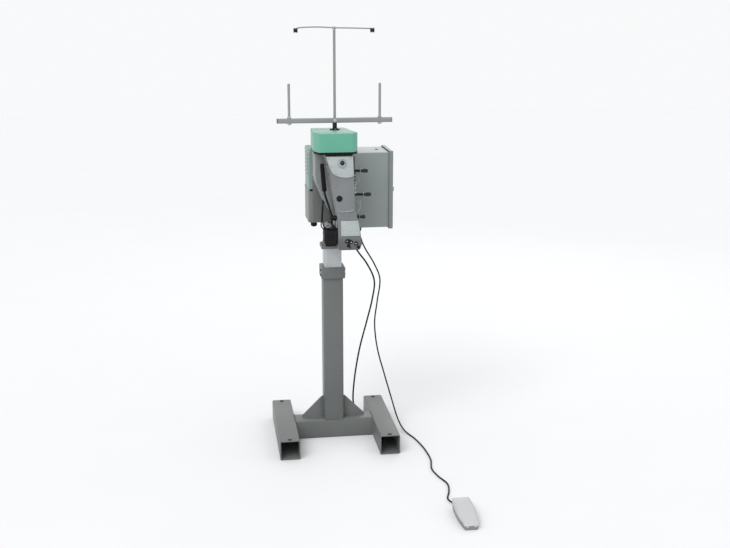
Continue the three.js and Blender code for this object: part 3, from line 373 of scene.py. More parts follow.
def prism(axis, pts, a, b, bev=0.0, seg=2):
    bm = bmesh.new()
    lo = [bm.verts.new(place(axis, u, v, a)) for u, v in pts]
    hi = [bm.verts.new(place(axis, u, v, b)) for u, v in pts]
    bm.faces.new(lo)
    bm.faces.new(hi)
    n = len(pts)
    for i in range(n):
        j = (i + 1) % n
        bm.faces.new((lo[i], lo[j], hi[j], hi[i]))
    bmesh.ops.recalc_face_normals(bm, faces=bm.faces)
    return bevel(bm, bev, seg)


def hollow(axis, outer, inner, a, b, bev=0.0, seg=2):
    """Tube between two outlines with the same number of points."""
    bm = bmesh.new()
    loops = []
    for pts, w in ((outer, a), (outer, b), (inner, b), (inner, a)):
        loops.append([bm.verts.new(place(axis, u, v, w)) for u, v in pts])
    n = len(outer)
    for k in range(4):
        p, q = loops[k], loops[(k + 1) % 4]
        for i in range(n):
            j = (i + 1) % n
            bm.faces.new((p[i], p[j], q[j], q[i]))
    bmesh.ops.recalc_face_normals(bm, faces=bm.faces)
    return bevel(bm, bev, seg)


def box(x0, x1, y0, y1, z0, z1, bev=0.0, seg=2):
    return prism("z", [(x0, y0), (x1, y0), (x1, y1), (x0, y1)], z0, z1, bev, seg)


def rr(u0, u1, v0, v1, r, n=5):
    out = []
    for cu, cv, a0 in ((u1 - r, v1 - r, 0), (u0 + r, v1 - r, PI / 2),
                       (u0 + r, v0 + r, PI), (u1 - r, v0 + r, -PI / 2)):
        for i in range(n + 1):
            a = a0 + PI / 2 * i / n
            out.append((cu + r * math.cos(a), cv + r * math.sin(a)))
    return out


def circle(cu, cv, r, n=32, ph=0.0):
    return [(cu + r * math.cos(2 * PI * i / n + ph), cv + r * math.sin(2 * PI * i / n + ph))
            for i in range(n)]


def lathe(axis, u, v, profile, n=40):
    """Profile is (radius, along); along y it is counted towards -Y."""
    bm = bmesh.new()
    closed = profile[0] == profile[-1]
    prof = profile[:-1] if closed else profile
    rings = []
    for r, h in prof:
        w = -h if axis == "y" else h
        if r < 1e-6:
            rings.append([bm.verts.new(place(axis, u, v, w))])
        else:
            rings.append([bm.verts.new(place(axis, u + r * math.cos(2 * PI * i / n),
                                             v + r * math.sin(2 * PI * i / n), w))
                          for i in range(n)])
    pairs = list(zip(rings, rings[1:]))
    if closed:
        pairs.append((rings[-1], rings[0]))
    for p, q in pairs:
        for i in range(n):
            j = (i + 1) % n
            if len(p) == 1 and len(q) == 1:
                continue
            if len(p) == 1:
                bm.faces.new((p[0], q[i], q[j]))
            elif len(q) == 1:
                bm.faces.new((p[i], p[j], q[0]))
            else:
                bm.faces.new((p[i], p[j], q[j], q[i]))
    bmesh.ops.recalc_face_normals(bm, faces=bm.faces)
    return bm


def catmull(points, per=8):
    P = [Vector(p) for p in points]
    P = [P[0] * 2 - P[1]] + P + [P[-1] * 2 - P[-2]]
    out = []
    for i in range(1, len(P) - 2):
        a, b, c, d = P[i - 1], P[i], P[i + 1], P[i + 2]
        for k in range(per):
            t = k / per
            out.append(0.5 * ((2 * b) + (c - a) * t + (2 * a - 5 * b + 4 * c - d) * t * t
                              + (3 * b - a - 3 * c + d) * t ** 3))
    out.append(P[-2])
    return out


def tube(points, r, n=12, fn=None, caps=True):
    """Round bar along points, radius r or r * fn(share of length)."""
    P = [Vector(p) for p in points]
    bm = bmesh.new()
    total = sum((b - a).length for a, b in zip(P, P[1:])) or 1.0
    run = 0.0
    up = None
    rings = []
    for i, p in enumerate(P):
        t = (P[min(i + 1, len(P) - 1)] - P[max(i - 1, 0)]).normalized()
        if up is None:
            up = t.orthogonal().normalized()
        up = (up - t * up.dot(t)).normalized()
        side = t.cross(up)
        if i:
            run += (p - P[i - 1]).length
        rad = r * (fn(run / total) if fn else 1.0)
        rings.append([bm.verts.new(p + (up * math.cos(2 * PI * k / n)
                                        + side * math.sin(2 * PI * k / n)) * rad)
                      for k in range(n)])
    for p, q in zip(rings, rings[1:]):
        for i in range(n):
            j = (i + 1) % n
            bm.faces.new((p[i], p[j], q[j], q[i]))
    if caps:
        bm.faces.new(rings[0])
        bm.faces.new(rings[-1])
    bmesh.ops.recalc_face_normals(bm, faces=bm.faces)
    return bm


def bead(a, b, r=2.2, pitch=2.4):
    """A rippled weld bead between two points."""
    A, B = Vector(a), Vector(b)
    steps = max(6, int((B - A).length / (pitch / 3)))
    pts = [A.lerp(B, i / steps) for i in range(steps + 1)]
    L = (B - A).length

    def fn(s):
        e = min(1.0, min(s, 1 - s) * L / 3.0 + 0.35)
        return e * (1 + 0.14 * math.cos(2 * PI * s * L / pitch) + 0.07 * math.sin(s * L * 0.9))
    return tube(pts, r, 8, fn)


def turn(bm, pos, direction):
    q = Vector((0, 0, 1)).rotation_difference(Vector(direction).normalized())
    bmesh.ops.transform(bm, matrix=Matrix.Translation(Vector(pos)) @ q.to_matrix().to_4x4(),
                        verts=bm.verts)
    return bm


def screw(pos, direction, r=4.0, kind="hexsocket", h=None, spin=0.3):
    """A machine screw head standing on pos; its recess is real."""
    n = 24
    h = h if h is not None else (r * 1.1 if kind == "hexsocket" else r * 0.55)
    bm = bmesh.new()

    def rin(a):
        if kind == "hexsocket":
            b = (a % (PI / 3)) - PI / 6
            return r * 0.5 * math.cos(PI / 6) / math.cos(b)
        w, L = (r * 0.13, r * 0.62)
        if kind == "slot":
            w, L = r * 0.13, r * 0.82
        best = 0.0
        arms = (0, PI) if kind == "slot" else (0, PI / 2, PI, 1.5 * PI)
        for arm in arms:
            d = (a - arm + PI) % (2 * PI) - PI
            if abs(d) < PI / 2:
                best = max(best, min(L / max(1e-6, math.cos(d)), w / max(1e-6, abs(math.sin(d)))))
        return max(best, w)

    def ring(fn, z):
        return [bm.verts.new((fn(2 * PI * i / n) * math.cos(2 * PI * i / n + spin),
                              fn(2 * PI * i / n) * math.sin(2 * PI * i / n + spin), z))
                for i in range(n)]
    if kind == "hexsocket":
        loops = [ring(lambda a: r, -0.6), ring(lambda a: r, h - r * 0.14),
                 ring(lambda a: r * 0.88, h), ring(rin, h), ring(rin, h * 0.35)]
    else:
        loops = [ring(lambda a: r, -0.6), ring(lambda a: r, h * 0.3),
                 ring(lambda a: r * 0.93, h * 0.62), ring(lambda a: r * 0.78, h * 0.88),
                 ring(rin, h), ring(rin, h * 0.4)]
    for p, q in zip(loops, loops[1:]):
        for i in range(n):
            j = (i + 1) % n
            bm.faces.new((p[i], p[j], q[j], q[i]))
    bm.faces.new(loops[-1])
    bm.faces.new(loops[0])
    bmesh.ops.recalc_face_normals(bm, faces=bm.faces)
    return turn(bm, pos, direction)


def hexbolt(pos, direction, af=13.0, h=6.0, washer=True):
    """Hexagon head with a chamfered crown and a washer."""
    n = 24
    bm = bmesh.new()
    R = af / 2 / math.cos(PI / 6)

    def hexr(a):
        b = (a % (PI / 3)) - PI / 6
        return af / 2 / math.cos(b)

    def ring(fn, z):
        return [bm.verts.new((fn(2 * PI * i / n) * math.cos(2 * PI * i / n),
                              fn(2 * PI * i / n) * math.sin(2 * PI * i / n), z))
                for i in range(n)]
    base = 1.4 if washer else 0.0
    loops = []
    if washer:
        loops += [ring(lambda a: af * 0.86, -0.5), ring(lambda a: af * 0.86, 1.1),
                  ring(lambda a: af * 0.83, 1.4)]
    loops += [ring(hexr, base), ring(lambda a: min(hexr(a), R * 0.985), base + h * 0.86),
              ring(lambda a: af * 0.46, base + h), ring(lambda a: af * 0.2, base + h)]
    for p, q in zip(loops, loops[1:]):
        for i in range(n):
            j = (i + 1) % n
            bm.faces.new((p[i], p[j], q[j], q[i]))
    bm.faces.new(loops[-1])
    bm.faces.new(loops[0])
    bmesh.ops.recalc_face_normals(bm, faces=bm.faces)
    return turn(bm, pos, direction)


def carve(bm, *cutters, op="DIFFERENCE"):
    """Exact boolean of closed meshes; frees what it is given."""
    def ob(b, nm):
        me = bpy.data.meshes.new(nm)
        b.to_mesh(me)
        b.free()
        o = bpy.data.objects.new(nm, me)
        COL.objects.link(o)
        return o
    base = ob(bm, "tmp_base")
    tools = [ob(c, "tmp_cut") for c in cutters]
    for t in tools:
        md = base.modifiers.new("b", "BOOLEAN")
        md.operation = op
        md.solver = "EXACT"
        md.object = t
    dg = bpy.context.evaluated_depsgraph_get()
    dg.update()
    me = bpy.data.meshes.new_from_object(base.evaluated_get(dg))
    out = bmesh.new()
    out.from_mesh(me)
    bpy.data.meshes.remove(me)
    for o in [base] + tools:
        d = o.data
        bpy.data.objects.remove(o)
        bpy.data.meshes.remove(d)
    return out


class Piece:
    def __init__(s, name, body, mats, replaces=(), slot=None):
        s.name, s.body, s.mats, s.rep, s.slot = name, body, mats, replaces, slot
        s.bm = bmesh.new()

    def add(s, bm, mi=0):
        bmesh.ops.dissolve_degenerate(bm, dist=0.002, edges=bm.edges)
        gaps = [e for e in bm.edges if e.is_boundary]
        if gaps:
            bmesh.ops.holes_fill(bm, edges=gaps, sides=0)
        for f in bm.faces:
            f.material_index = mi
        me = bpy.data.meshes.new("t")
        bm.to_mesh(me)
        bm.free()
        s.bm.from_mesh(me)
        bpy.data.meshes.remove(me)
        return s

    def done(s, smooth=32):
        bmesh.ops.scale(s.bm, vec=(0.001, 0.001, 0.001), verts=s.bm.verts)
        me = bpy.data.meshes.new(s.name)
        s.bm.to_mesh(me)
        s.bm.free()
        for p in me.polygons:
            p.use_smooth = True
        me.set_sharp_from_angle(angle=math.radians(smooth))
        for m in s.mats:
            me.materials.append(M[m])
        o = bpy.data.objects.new(s.name, me)
        COL.objects.link(o)
        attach(o, s.body)
        if s.rep:
            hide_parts(*s.rep)
        return o


BODY = {n: b for b, names in frame["record"]["behaviour"]["bodies"].items() for n in names}


def keep(node, material, width=0.0, seg=2, smooth=30):
    """A CAD node's own shape with its finish. With a width, a copy with softened edges stands for it."""
    o = NODES[node]
    o.data.materials.clear()
    o.data.materials.append(M[material])
    for p in o.data.polygons:
        p.use_smooth = True
        p.material_index = 0
    o.data.set_sharp_from_angle(angle=math.radians(smooth))
    if not width:
        return o
    soft = bpy.data.objects.new(node + "_softened", o.data.copy())
    soft.data.name = node + "_softened"
    COL.objects.link(soft)
    join = soft.modifiers.new("join_corners", "WELD")
    join.merge_threshold = 0.00001
    flat = soft.modifiers.new("merge_flat_faces", "DECIMATE")
    flat.decimate_type = "DISSOLVE"
    flat.angle_limit = math.radians(1.0)
    md = soft.modifiers.new("soft_edges", "BEVEL")
    md.width = width / 1000
    md.segments = seg
    md.limit_method = "ANGLE"
    md.angle_limit = math.radians(35)
    md.use_clamp_overlap = True
    md.harden_normals = False
    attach(soft, BODY[node])
    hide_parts(node)
    return soft


# ------------------------------------------------------------------- cords
def curve_piece(name, pts_mm, r_mm, material):
    """One smooth open spline through the points."""
    P = [Vector(p) / 1000 for p in pts_mm]
    cu = bpy.data.curves.new(name, "CURVE")
    cu.dimensions = "3D"
    cu.resolution_u = 8
    sp = cu.splines.new("BEZIER")
    sp.bezier_points.add(len(P) - 1)
    n = len(P)
    for i, (b, p) in enumerate(zip(sp.bezier_points, P)):
        a = P[i - 1] if i else P[0] * 2 - P[1]
        c = P[i + 1] if i < n - 1 else P[-1] * 2 - P[-2]
        t = (c - a).normalized()
        b.handle_left_type = b.handle_right_type = "FREE"
        b.co = p
        b.handle_left = p - t * (p - a).length / 3
        b.handle_right = p + t * (c - p).length / 3
    cu.bevel_depth = r_mm / 1000
    cu.bevel_resolution = 3
    cu.use_fill_caps = True
    cu.materials.append(M[material])
    o = bpy.data.objects.new(name, cu)
    COL.objects.link(o)
    return o


FOOT = [(125, 110, 841), (125, 110, 830), (150, 111, 770), (190, 112, 700), (214, 112, 634),
        (203, 112, 540), (192, 112, 443), (204, 110, 330), (232, 104, 221), (262, 84, 110),
        (280, 44, 40), (293, -6, 12), (306, -48, 4.6), (326, -110, 3.6), (343, -209, 3.6),
        (348, -332, 3.6), (334, -420, 3.6), (344, -491, 3.6), (364, -562, 3.6),
        (355, -629, 3.6), (338, -686, 3.6), (344, -726, 7), (356, -748, 11), (356, -754, 11),
        (356, -761, 11)]
foot_cord = curve_piece("foot_switch_lead", FOOT, 3.0, "pvc")
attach(foot_cord, "stand")
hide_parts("foot_cord")


def along(o, upto):
    """Points down the start of a lead, to a distance in mm."""
    bp = o.data.splines[0].bezier_points
    out, run = [bp[0].co * 1000], 0.0
    for a, b in zip(bp, bp[1:]):
        for k in range(1, 13):
            t = k / 12
            u = 1 - t
            q = (a.co * u ** 3 + a.handle_right * (3 * u * u * t) + b.handle_left * (3 * u * t * t)
                 + b.co * t ** 3) * 1000
            run += (q - out[-1]).length
            out.append(q)
            if run > upto:
                return out
    return out


def boot(name, o, r0, r1):
    """A tapered, ribbed strain relief around the start of a lead."""
    p = Piece(name, "stand", ["rubber"])
    p.add(tube(along(o, 42), r0, 24, lambda t: (1 - t) + t * r1 / r0 + (0.07 if int(t * 15) % 2 else 0.0)))
    return p.done(50)


foot_boot = boot("foot_lead_boot", foot_cord, 5.6, 3.4)

# The mains lead hangs to the floor and is put away in one coil of three
# layers, each of three turns, wound clockwise from the top layer down.
CX, CY = 85.0, 100.0
R1, R2, R3 = 30.7, 38.1, 45.5
ZT, ZM, ZB = 18.4, 11.1, 3.75
SHIFTS = [(216, 288, R2 - R1, 0), (576, 648, R3 - R2, 0), (864, 936, 0, ZM - ZT),
          (1152, 1224, R2 - R3, 0), (1512, 1584, R1 - R2, 0), (1800, 1872, 0, ZB - ZM),
          (2088, 2160, R2 - R1, 0), (2448, 2520, R3 - R2, 0)]


def coil_at(th):
    r, z = R1, ZT
    for s, e, dr, dz in SHIFTS:
        k = max(0.0, min(1.0, (th - s) / (e - s)))
        k = k * k * (3 - 2 * k)
        r += dr * k
        z += dz * k
    a = -math.radians(th)
    return (CX + r * math.cos(a), CY + r * math.sin(a), z)


MAINS = [(90, 110, 841), (90, 110, 830), (112, 111, 770), (160, 112, 700), (190, 112, 629),
         (182, 112, 550), (160, 112, 459), (130, 116, 340), (112, 124, 232), (104, 132, 150),
         (102, 134, 98), (106.5, 131.5, 66), (110, 128.3, 41), (112.3, 121, 27.4),
         (114.2, 110.4, 20.4)]
MAINS += [coil_at(24 * i) for i in range(0, 112)]
MAINS += [(39.4, 101, 3.75), (38.6, 116, 5.2), (38, 130, 9.8), (37.6, 142, 13), (37.6, 150, 13)]
mains_cord = curve_piece("mains_lead", MAINS, 3.5, "pvc")
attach(mains_cord, "stand")
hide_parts("mains_cord", "mains_coil")
mains_boot = boot("mains_lead_boot", mains_cord, 6.2, 4.0)

plug = Piece("mains_plug_body", "stand", ["black", "steel_y", "rubber"], ("mains_plug",))
plug.add(prism("z", rr(20, 55, 150, 186, 8, 6), 0.2, 26, 3.2, 3))
plug.add(prism("z", rr(24.5, 50.5, 153, 172, 5, 5), 24, 26, 0.5))
for i in range(5):
    for x in (20.3, 54.7):
        plug.add(box(x - 0.3, x + 0.3, 154 + 4 * i, 156 + 4 * i, 5, 21, 0.25), 0)
plug.add(lathe("y", 37.6, 13, [(0, -178), (12.6, -178), (12.6, -185.6), (11.8, -186), (0, -186)], 40), 0)
for x in (29.5, 45.5):
    plug.add(lathe("y", x, 13, [(0, -184), (2.3, -184), (2.3, -192), (2.0, -192.2), (2.0, -203),
                                (1.3, -204), (0, -204)], 20), 1)
plug.add(tube([(37.9, 133, 10.9), (37.7, 138, 12.4), (37.6, 143, 13), (37.6, 151, 13)], 6.2, 20,
              lambda t: 0.66 + 0.34 * t + (0.06 if int(t * 12) % 2 else 0)), 2)
plug = plug.done()

tie = Piece("coil_tie", "stand", ["black"])
tie_path = []
for i in range(33):
    a = 2 * PI * i / 32
    c, s_ = math.cos(a), math.sin(a)
    sq = lambda v: math.copysign(abs(v) ** 0.45, v)
    tie_path.append((37.9 + 13.0 * sq(c), 11.4 + 11.2 * sq(s_)))
bm = bmesh.new()
rings = []
for u, w in tie_path[:-1]:
    nx, nz = (u - 37.9) / 13.0, (w - 11.4) / 11.2
    quad = []
    for off, t in ((0.0, -6), (0.0, 6), (1.1, 6), (1.1, -6)):
        uu = u + nx * off
        ww = max(0.15, w + nz * off)
        quad.append(bm.verts.new((CX + t, CY - uu, ww)))
    rings.append(quad)
for p, q in zip(rings, rings[1:] + rings[:1]):
    for i in range(4):
        j = (i + 1) % 4
        bm.faces.new((p[i], p[j], q[j], q[i]))
bmesh.ops.recalc_face_normals(bm, faces=bm.faces)
tie.add(bm)
tie.add(box(CX - 6.5, CX + 6.5, CY - 44, CY - 33, 22.8, 25.2, 0.7))
tie = tie.done()


# ------------------------------------------------------- carried-over nodes
KEEP = {
    "base_frame": ("frame", 2.0), "column_outer": ("frame", 1.0), "column_collar": ("frame", 1.5),
    "column_inner": ("steel", 0.8), "lift_nut": ("bronze", 0.8), "crank_gearbox": ("frame", 1.5),
    "lift_screw": ("steel", 0.3), "lift_crank": ("zinc", 0.6), "crank_knob": ("blackgloss", 0.8),
    "head_bracket": ("frame", 1.2), "motor_box": ("motor", 2.5), "motor_cover": ("cover", 2.5),
    "motor_body": ("box", 1.0), "motor_pulley": ("cast_dark", 0.6), "v_belt": ("rubber", 0.5),
    "head_pulley": ("cast", 0.8), "main_shaft": ("steel", 0.4), "belt_guard": ("green", 1.0),
    "control_box": ("box", 1.2), "control_door": ("door", 2.0), "door_hinge_pin": ("zinc", 0.4),
    "door_lock": ("zinc", 0.5), "start_button": ("greenbtn", 0.8), "stop_button": ("redbtn", 1.0),
    "control_plate": ("zinc", 0.5), "gland_mains": ("black", 0.5), "gland_foot": ("black", 0.5),
    "motor_lead": ("pvc", 0.3), "head_body": ("head", 1.6), "upper_cover": ("bright", 0.8),
    "oil_cap": ("blackgloss", 0.5), "face_cover": ("bright", 0.8), "needle_bar": ("steel_y", 0.2),
    "presser_foot": ("steel_y", 0.3), "needle_plate": ("steel", 0.3), "feed_dog": ("steel", 0.15),
    "looper": ("steel", 0.3), "lifter_lever": ("blackpaint", 0.6), "lifter_grip": ("rubber", 0.8),
    "cutter_solenoid": ("blackpaint", 0.8), "cutter_plunger": ("steel_y", 0.3),
    "cutter_knife": ("steel_x", 0.1), "stand_post": ("bar", 0.4), "spool_bar": ("bar", 1.0),
    "guide_bar": ("bar", 0.3), "pedal_base": ("pedal_shaded_grey", 1.2), "pedal_treadle": ("ivory", 1.2),
    "pedal_pin": ("zinc", 0.3),
}
HIDDEN = {"foot_cord", "mains_cord", "mains_coil", "mains_plug"}
REPLACED = set()


def ring_y(u, v, ro, ri, a, b, n=32):
    return lathe("y", u, v, [(ri, a), (ri + 0.3, b), (ro - 0.6, b), (ro, b - 0.6), (ro, a), (ri, a)], n)


# ------------------------------------------------- sewing head (carriage)
ARM = [(-50, 1203), (-41, 1172), (-28, 1100), (-15, 1020), (-8, 990), (-4, 950), (-4, 846),
       (4, 840), (80, 840), (88, 862), (78, 945), (62, 992), (58, 1128), (56, 1203)]
BED = [(-72, 1203), (-72, 1080), (-40, 1000), (-4, 940), (-4, 844), (0, 840), (82, 840),
       (88, 862), (84, 960), (66, 1020), (66, 1203)]
ROOT = [(-50, 1203), (-38, 1156), (-20, 1052), (-8, 1000), (-4, 985), (62, 985), (58, 1128),
        (56, 1203)]
body = carve(prism("y", ARM, -240, -165, 4.5, 3), prism("y", ROOT, -172, -112),
             prism("y", BED, -120, 10, 3.5, 3),
             lathe("z", -10, -185, [(0, 1190), (19, 1190), (17, 1205), (15, 1209), (0, 1209)], 40),
             op="UNION")
body = carve(
    body,
    lathe("x", -142.5, 985, [(0, -100), (22, -100), (22, 120), (0, 120)], 40),
    box(-60, 100, -164.9, -120.1, 838, 985),
    lathe("z", -10, -185, [(0, 1091), (8.3, 1091), (8.3, 1215), (0, 1215)], 32),
    lathe("y", 2, 1040, [(0, 250), (9, 250), (9, 235), (0, 235)], 32),
    box(20, 68, -236, -176, 868, 948), box(20, 68, -250, -230, 902, 948),
    lathe("y", 45, 884, [(0, 180), (4.4, 180), (4.4, 160), (0, 160)], 20),
    lathe("y", 45, 906, [(0, 180), (4.9, 180), (4.9, 160), (0, 160)], 20),
    box(14, 76, -125, -117.7, 852, 925), box(18, 72, -125, -66, 856, 921),
    lathe("z", 30, -92, [(0, 846), (5.3, 846), (5.3, 930), (0, 930)], 20),
    lathe("y", 36, 858, [(0, 250), (4.5, 250), (4.5, 236), (0, 236)], 20),
    lathe("y", 42, 849, [(0, 250), (3.5, 250), (3.5, 236), (0, 236)], 20),
    lathe("y", 74, 852, [(0, 250), (4.5, 250), (4.5, 236), (0, 236)], 20),
    prism("y", [(-20, 988), (10, 984), (40, 985), (80, 990), (80, 993), (40, 988), (10, 987),
                (-20, 991)], -250, -237.5))
head = Piece("head_casting", "carriage", ["head", "blackox", "steel_y", "cast", "zinc", "black"],
             ("head_body",))
head.add(body)
# Bright steel lip along the seam, where the lower head closes against the arm: a painted highlight on the seam's edge.
head.add(tube([(-6, -240.2, 993.2), (10, -240.4, 989.2), (40, -240.4, 990.2), (60, -240.2, 993.6)],
              1.5, 10, lambda t: 0.5 + 0.5 * min(1, 6 * t, 6 * (1 - t))), 2)
head.add(ring_y(2, 1040, 12.0, 8.6, 239.8, 241.2), 1)
head.add(screw((2, -238.6, 1040), (0, -1, 0), 7.8, "hexsocket", 3.2), 1)
for u, v, r in ((36, 858, 4.3), (42, 849, 3.3), (74, 852, 4.3)):
    head.add(screw((u, -238, v), (0, -1, 0), r, "hexsocket", 3.4), 1)
head.add(ring_y(36, 858, 7.6, 4.4, 239.8, 241.0), 1)
head.add(ring_y(74, 852, 7.4, 4.4, 239.8, 241.0), 1)
# A black clip and its screws under the face cover.
head.add(prism("y", [(24, 868), (50, 866), (54, 874), (44, 882), (30, 884), (22, 877)], -243.2,
               -239.8, 0.9, 2), 5)
head.add(prism("y", [(58, 858), (72, 861), (70, 872), (60, 874)], -242.6, -239.8, 0.8, 2), 5)
for u, v in ((30, 876), (46, 872), (64, 866)):
    head.add(screw((u, -243, v), (0, -1, 0), 2.6, "slot"), 4)
# Raised pad behind the covers, casting webs down both flanks.
head.add(prism("y", [(-43, 1196), (-36, 1172), (-22, 1142), (-9, 1131), (20, 1125), (40, 1125),
                     (52, 1130), (51, 1196)], -240.6, -239.5, 0.3), 0)
for z in (1160, 1120, 1080):
    xl = -50 + (1203 - z) * 0.205
    head.add(box(xl - 2.6, xl + 4, -226, -178, z - 4, z + 4, 1.8, 2), 0)
head.add(prism("x", [(-232, 1126), (-232, 1010), (-226, 1004), (-172, 1004), (-172, 1126)],
               54, 60.4, 1.6, 2), 0)
for y, z in ((-225, 1118), (-179, 1118), (-225, 1012), (-179, 1012)):
    head.add(screw((60.2, y, z), (1, 0, 0), 3.4, "cross"), 4)
# Tension seats, each a round boss on the right flank.
for z, x in ((1136, 57), (1045, 59.5), (958, 73)):
    head.add(lathe("x", -185, z, [(0, x - 6), (13, x - 6), (13, x + 0.9), (12, x + 1.4), (0, x + 1.4)],
                   32), 0)
# Thread guide studs.
for z in (1088, 1072, 1056):
    head.add(lathe("x", -200, z, [(0, 52), (3, 52), (3, 66), (3.4, 66.3), (5.5, 66.6), (5.5, 69.5),
                                  (5.0, 70), (1.6, 70), (1.6, 68.5), (0, 68.5)], 24), 2)
# Take-up guard and small black guides down the arm's right edge.
head.add(prism("x", [(-237, 1150), (-237, 1196), (-231, 1199), (-225, 1196), (-225, 1156), (-229, 1147)], 54, 60.4,
               1.1, 2), 5)
head.add(screw((60.2, -231, 1188), (1, 0, 0), 2.4, "slot"), 4)
head.add(screw((60.2, -231, 1160), (1, 0, 0), 2.4, "slot"), 4)
for z, y in ((1134, -229), (1120, -229), (1107, -228), (1094, -226)):
    head.add(lathe("x", y, z, [(0, 54), (2.6, 54), (2.6, 60.4), (4.2, 60.8), (4.2, 63), (3.4, 64), (0, 64)], 22), 1)
# Back and sides of the bed: mounting bolts, oil plugs, a cover plate.
for x, z in ((-56, 1186), (50, 1186), (-56, 1100), (50, 1100), (8, 960), (68, 960)):
    head.add(hexbolt((x, 10, z), (0, 1, 0), 11, 4.6), 4)
head.add(prism("x", [(-108, 1190), (-108, 1030), (-8, 1030), (-8, 1190)], 65, 68.6, 1.4, 2), 3)
for y in (-102, -58, -14):
    for z in (1184, 1036):
        head.add(screw((68.4, y, z), (1, 0, 0), 3.2, "cross"), 4)
head.add(prism("x", [(-110, 1192), (-110, 1094), (-6, 1094), (-6, 1192)], -75, -71.5, 1.2, 2), 3)
for y in (-104, -12):
    for z in (1186, 1100):
        head.add(screw((-74.8, y, z), (-1, 0, 0), 3.2, "cross"), 4)
for y in (-96, -36):
    head.add(hexbolt((-1, y, 1203), (0, 0, 1), 10, 4.5), 4)
head.add(screw((25, -226, 1203), (0, 0, 1), 4.2, "hexsocket", 4), 1)
head.add(screw((-32, -226, 1203), (0, 0, 1), 4.2, "hexsocket", 4), 1)
head.done(34)

cover = Piece("upper_cover_plate", "carriage", ["bright", "zinc", "steel_y"], ("upper_cover",))
cover.add(carve(prism("y", [(-47, 1200), (-38, 1168), (-25, 1138), (-11, 1127), (8, 1121.5), (28, 1119.5),
                            (44, 1121), (56.5, 1126), (54, 1200)], -244, -240.3, 1.3, 3),
                lathe("y", 13, 1172, [(0, 250), (9.3, 250), (9.3, 236), (0, 236)], 40)))
for u, v in ((-38, 1192), (46, 1192), (48, 1132), (-10, 1136), (-31, 1164)):
    cover.add(ring_y(u, v, 4.6, 3.2, 243.8, 244.5, 24), 0)
    cover.add(screw((u, -243.9, v), (0, -1, 0), 3.1, "cross", 1.4), 1)
cover.add(ring_y(13, 1172, 19, 16.6, 243.7, 245.0, 48), 2)
cover.done()

cap = Piece("oil_filler_cap", "oil_cap", ["blackgloss", "steel_y"], ("oil_cap",))
cap.add(lathe("y", 13, 1172, [(0, 240.5), (9, 240.5), (9, 244.3), (15, 244.3), (15.2, 245.4),
                              (14.2, 247), (12, 247.4), (11.4, 246.2), (0, 246.2)], 44), 1)
dome = [(0, 246)] + [(8.8 * math.cos(a), 246 + 8.5 * math.sin(a))
                     for a in [i * PI / 2 / 7 for i in range(8)]]
dome[-1] = (0, 254.5)
cap.add(lathe("y", 13, 1175, dome, 40), 0)
cap.add(prism("y", [(7, 1178), (13, 1186.6), (19, 1178)], -250.6, -246, 1.2, 3), 0)
cap.done(40)

face = Piece("face_cover_plate", "carriage", ["bright", "zinc"], ("face_cover",))
face.add(prism("y", [(8, 896), (80, 896), (77, 930), (72, 955), (6, 955)], -244, -240.3, 1.4, 3))
face.add(prism("y", [(16, 903), (72, 903), (70, 930), (66, 947), (14, 947)], -245.3, -243.5, 1.0, 3))
for u, v in ((12, 901), (75, 901), (68, 951), (10, 951)):
    face.add(screw((u, -243.9, v), (0, -1, 0), 2.6, "cross", 1.3), 1)
face.done()

# ------------------------------------------------------------ needle end
needle = Piece("needle_and_bar", "needle_bar", ["steel_y", "blackox"], ("needle_bar",))
needle.add(lathe("y", 45, 884, [(0, 234), (3.4, 234), (4, 233.4), (4, 176), (3.6, 175.4), (3.6, 174.6),
                                (4, 174), (4, 168.6), (3.4, 168), (2.2, 167.4), (2.2, 164.4),
                                (1.1, 163), (1.1, 136), (0.75, 131.5), (0, 128)], 28))
needle.done(30)
foot = Piece("presser_foot_hinged", "presser_foot", ["steel_y", "blackox", "steel_x"],
             ("presser_foot",))
foot.add(lathe("y", 45, 906, [(0, 228), (3.9, 228), (4.5, 227.4), (4.5, 136), (0, 136)], 28))
foot.add(box(38, 52, -146, -134, 892, 911, 1.4, 3))
foot.add(box(40, 50, -138, -122, 892, 902, 1.0, 2))
foot.add(screw((52, -140, 906), (1, 0, 0), 3.0, "slot"), 1)
foot.add(carve(prism("x", [(-124.6, 866), (-121.5, 868), (-121.5, 902), (-124.6, 904)], 19, 67,
                     0.6, 2), box(41.6, 48.4, -130, -118, 880.6, 887.4)), 2)
foot.add(prism("z", [(66, -124.6), (81, -131), (80, -128), (67, -121.5), (66, -121.5)], 868, 902,
               0.5, 2), 2)
for i in range(5):
    foot.add(box(22 + 9 * i, 24.4 + 9 * i, -125.2, -124.3, 870, 879, 0.3, 1), 2)
foot.done()
plate = Piece("needle_plate_slotted", "carriage", ["steel", "blackox"], ("needle_plate",))
plate.add(carve(box(14.3, 75.7, -121, -118, 852.3, 924.7, 0.6, 2),
                lathe("y", 45, 884, [(0, 130), (2, 130), (2, 110), (0, 110)], 20),
                box(27, 63, -130, -110, 870, 876.5), box(27, 63, -130, -110, 891.5, 898)))
for u, v in ((19, 857), (71, 857), (19, 920), (71, 920)):
    plate.add(screw((u, -120.9, v), (0, -1, 0), 2.6, "slot", 0.9), 1)
plate.done()
dog = Piece("feed_dog_teeth", "feed_dog", ["steel"], ("feed_dog",))
for z in (873.2, 894.8):
    teeth = [(-112, 32), (-112, 58)]
    top = []
    for i in range(13):
        u = 58 - 2 * i
        top += [(u, -121.2), (u - 2, -120.3)]
    dog.add(prism("z", [(32, -112), (58, -112)] + top[:-1] + [(32, -120.3)], z - 2.5, z + 2.5))
dog.add(carve(box(32, 58, -117, -106, 868, 900, 0.5), box(39, 51, -130, -100, 880, 891)))
dog.done()

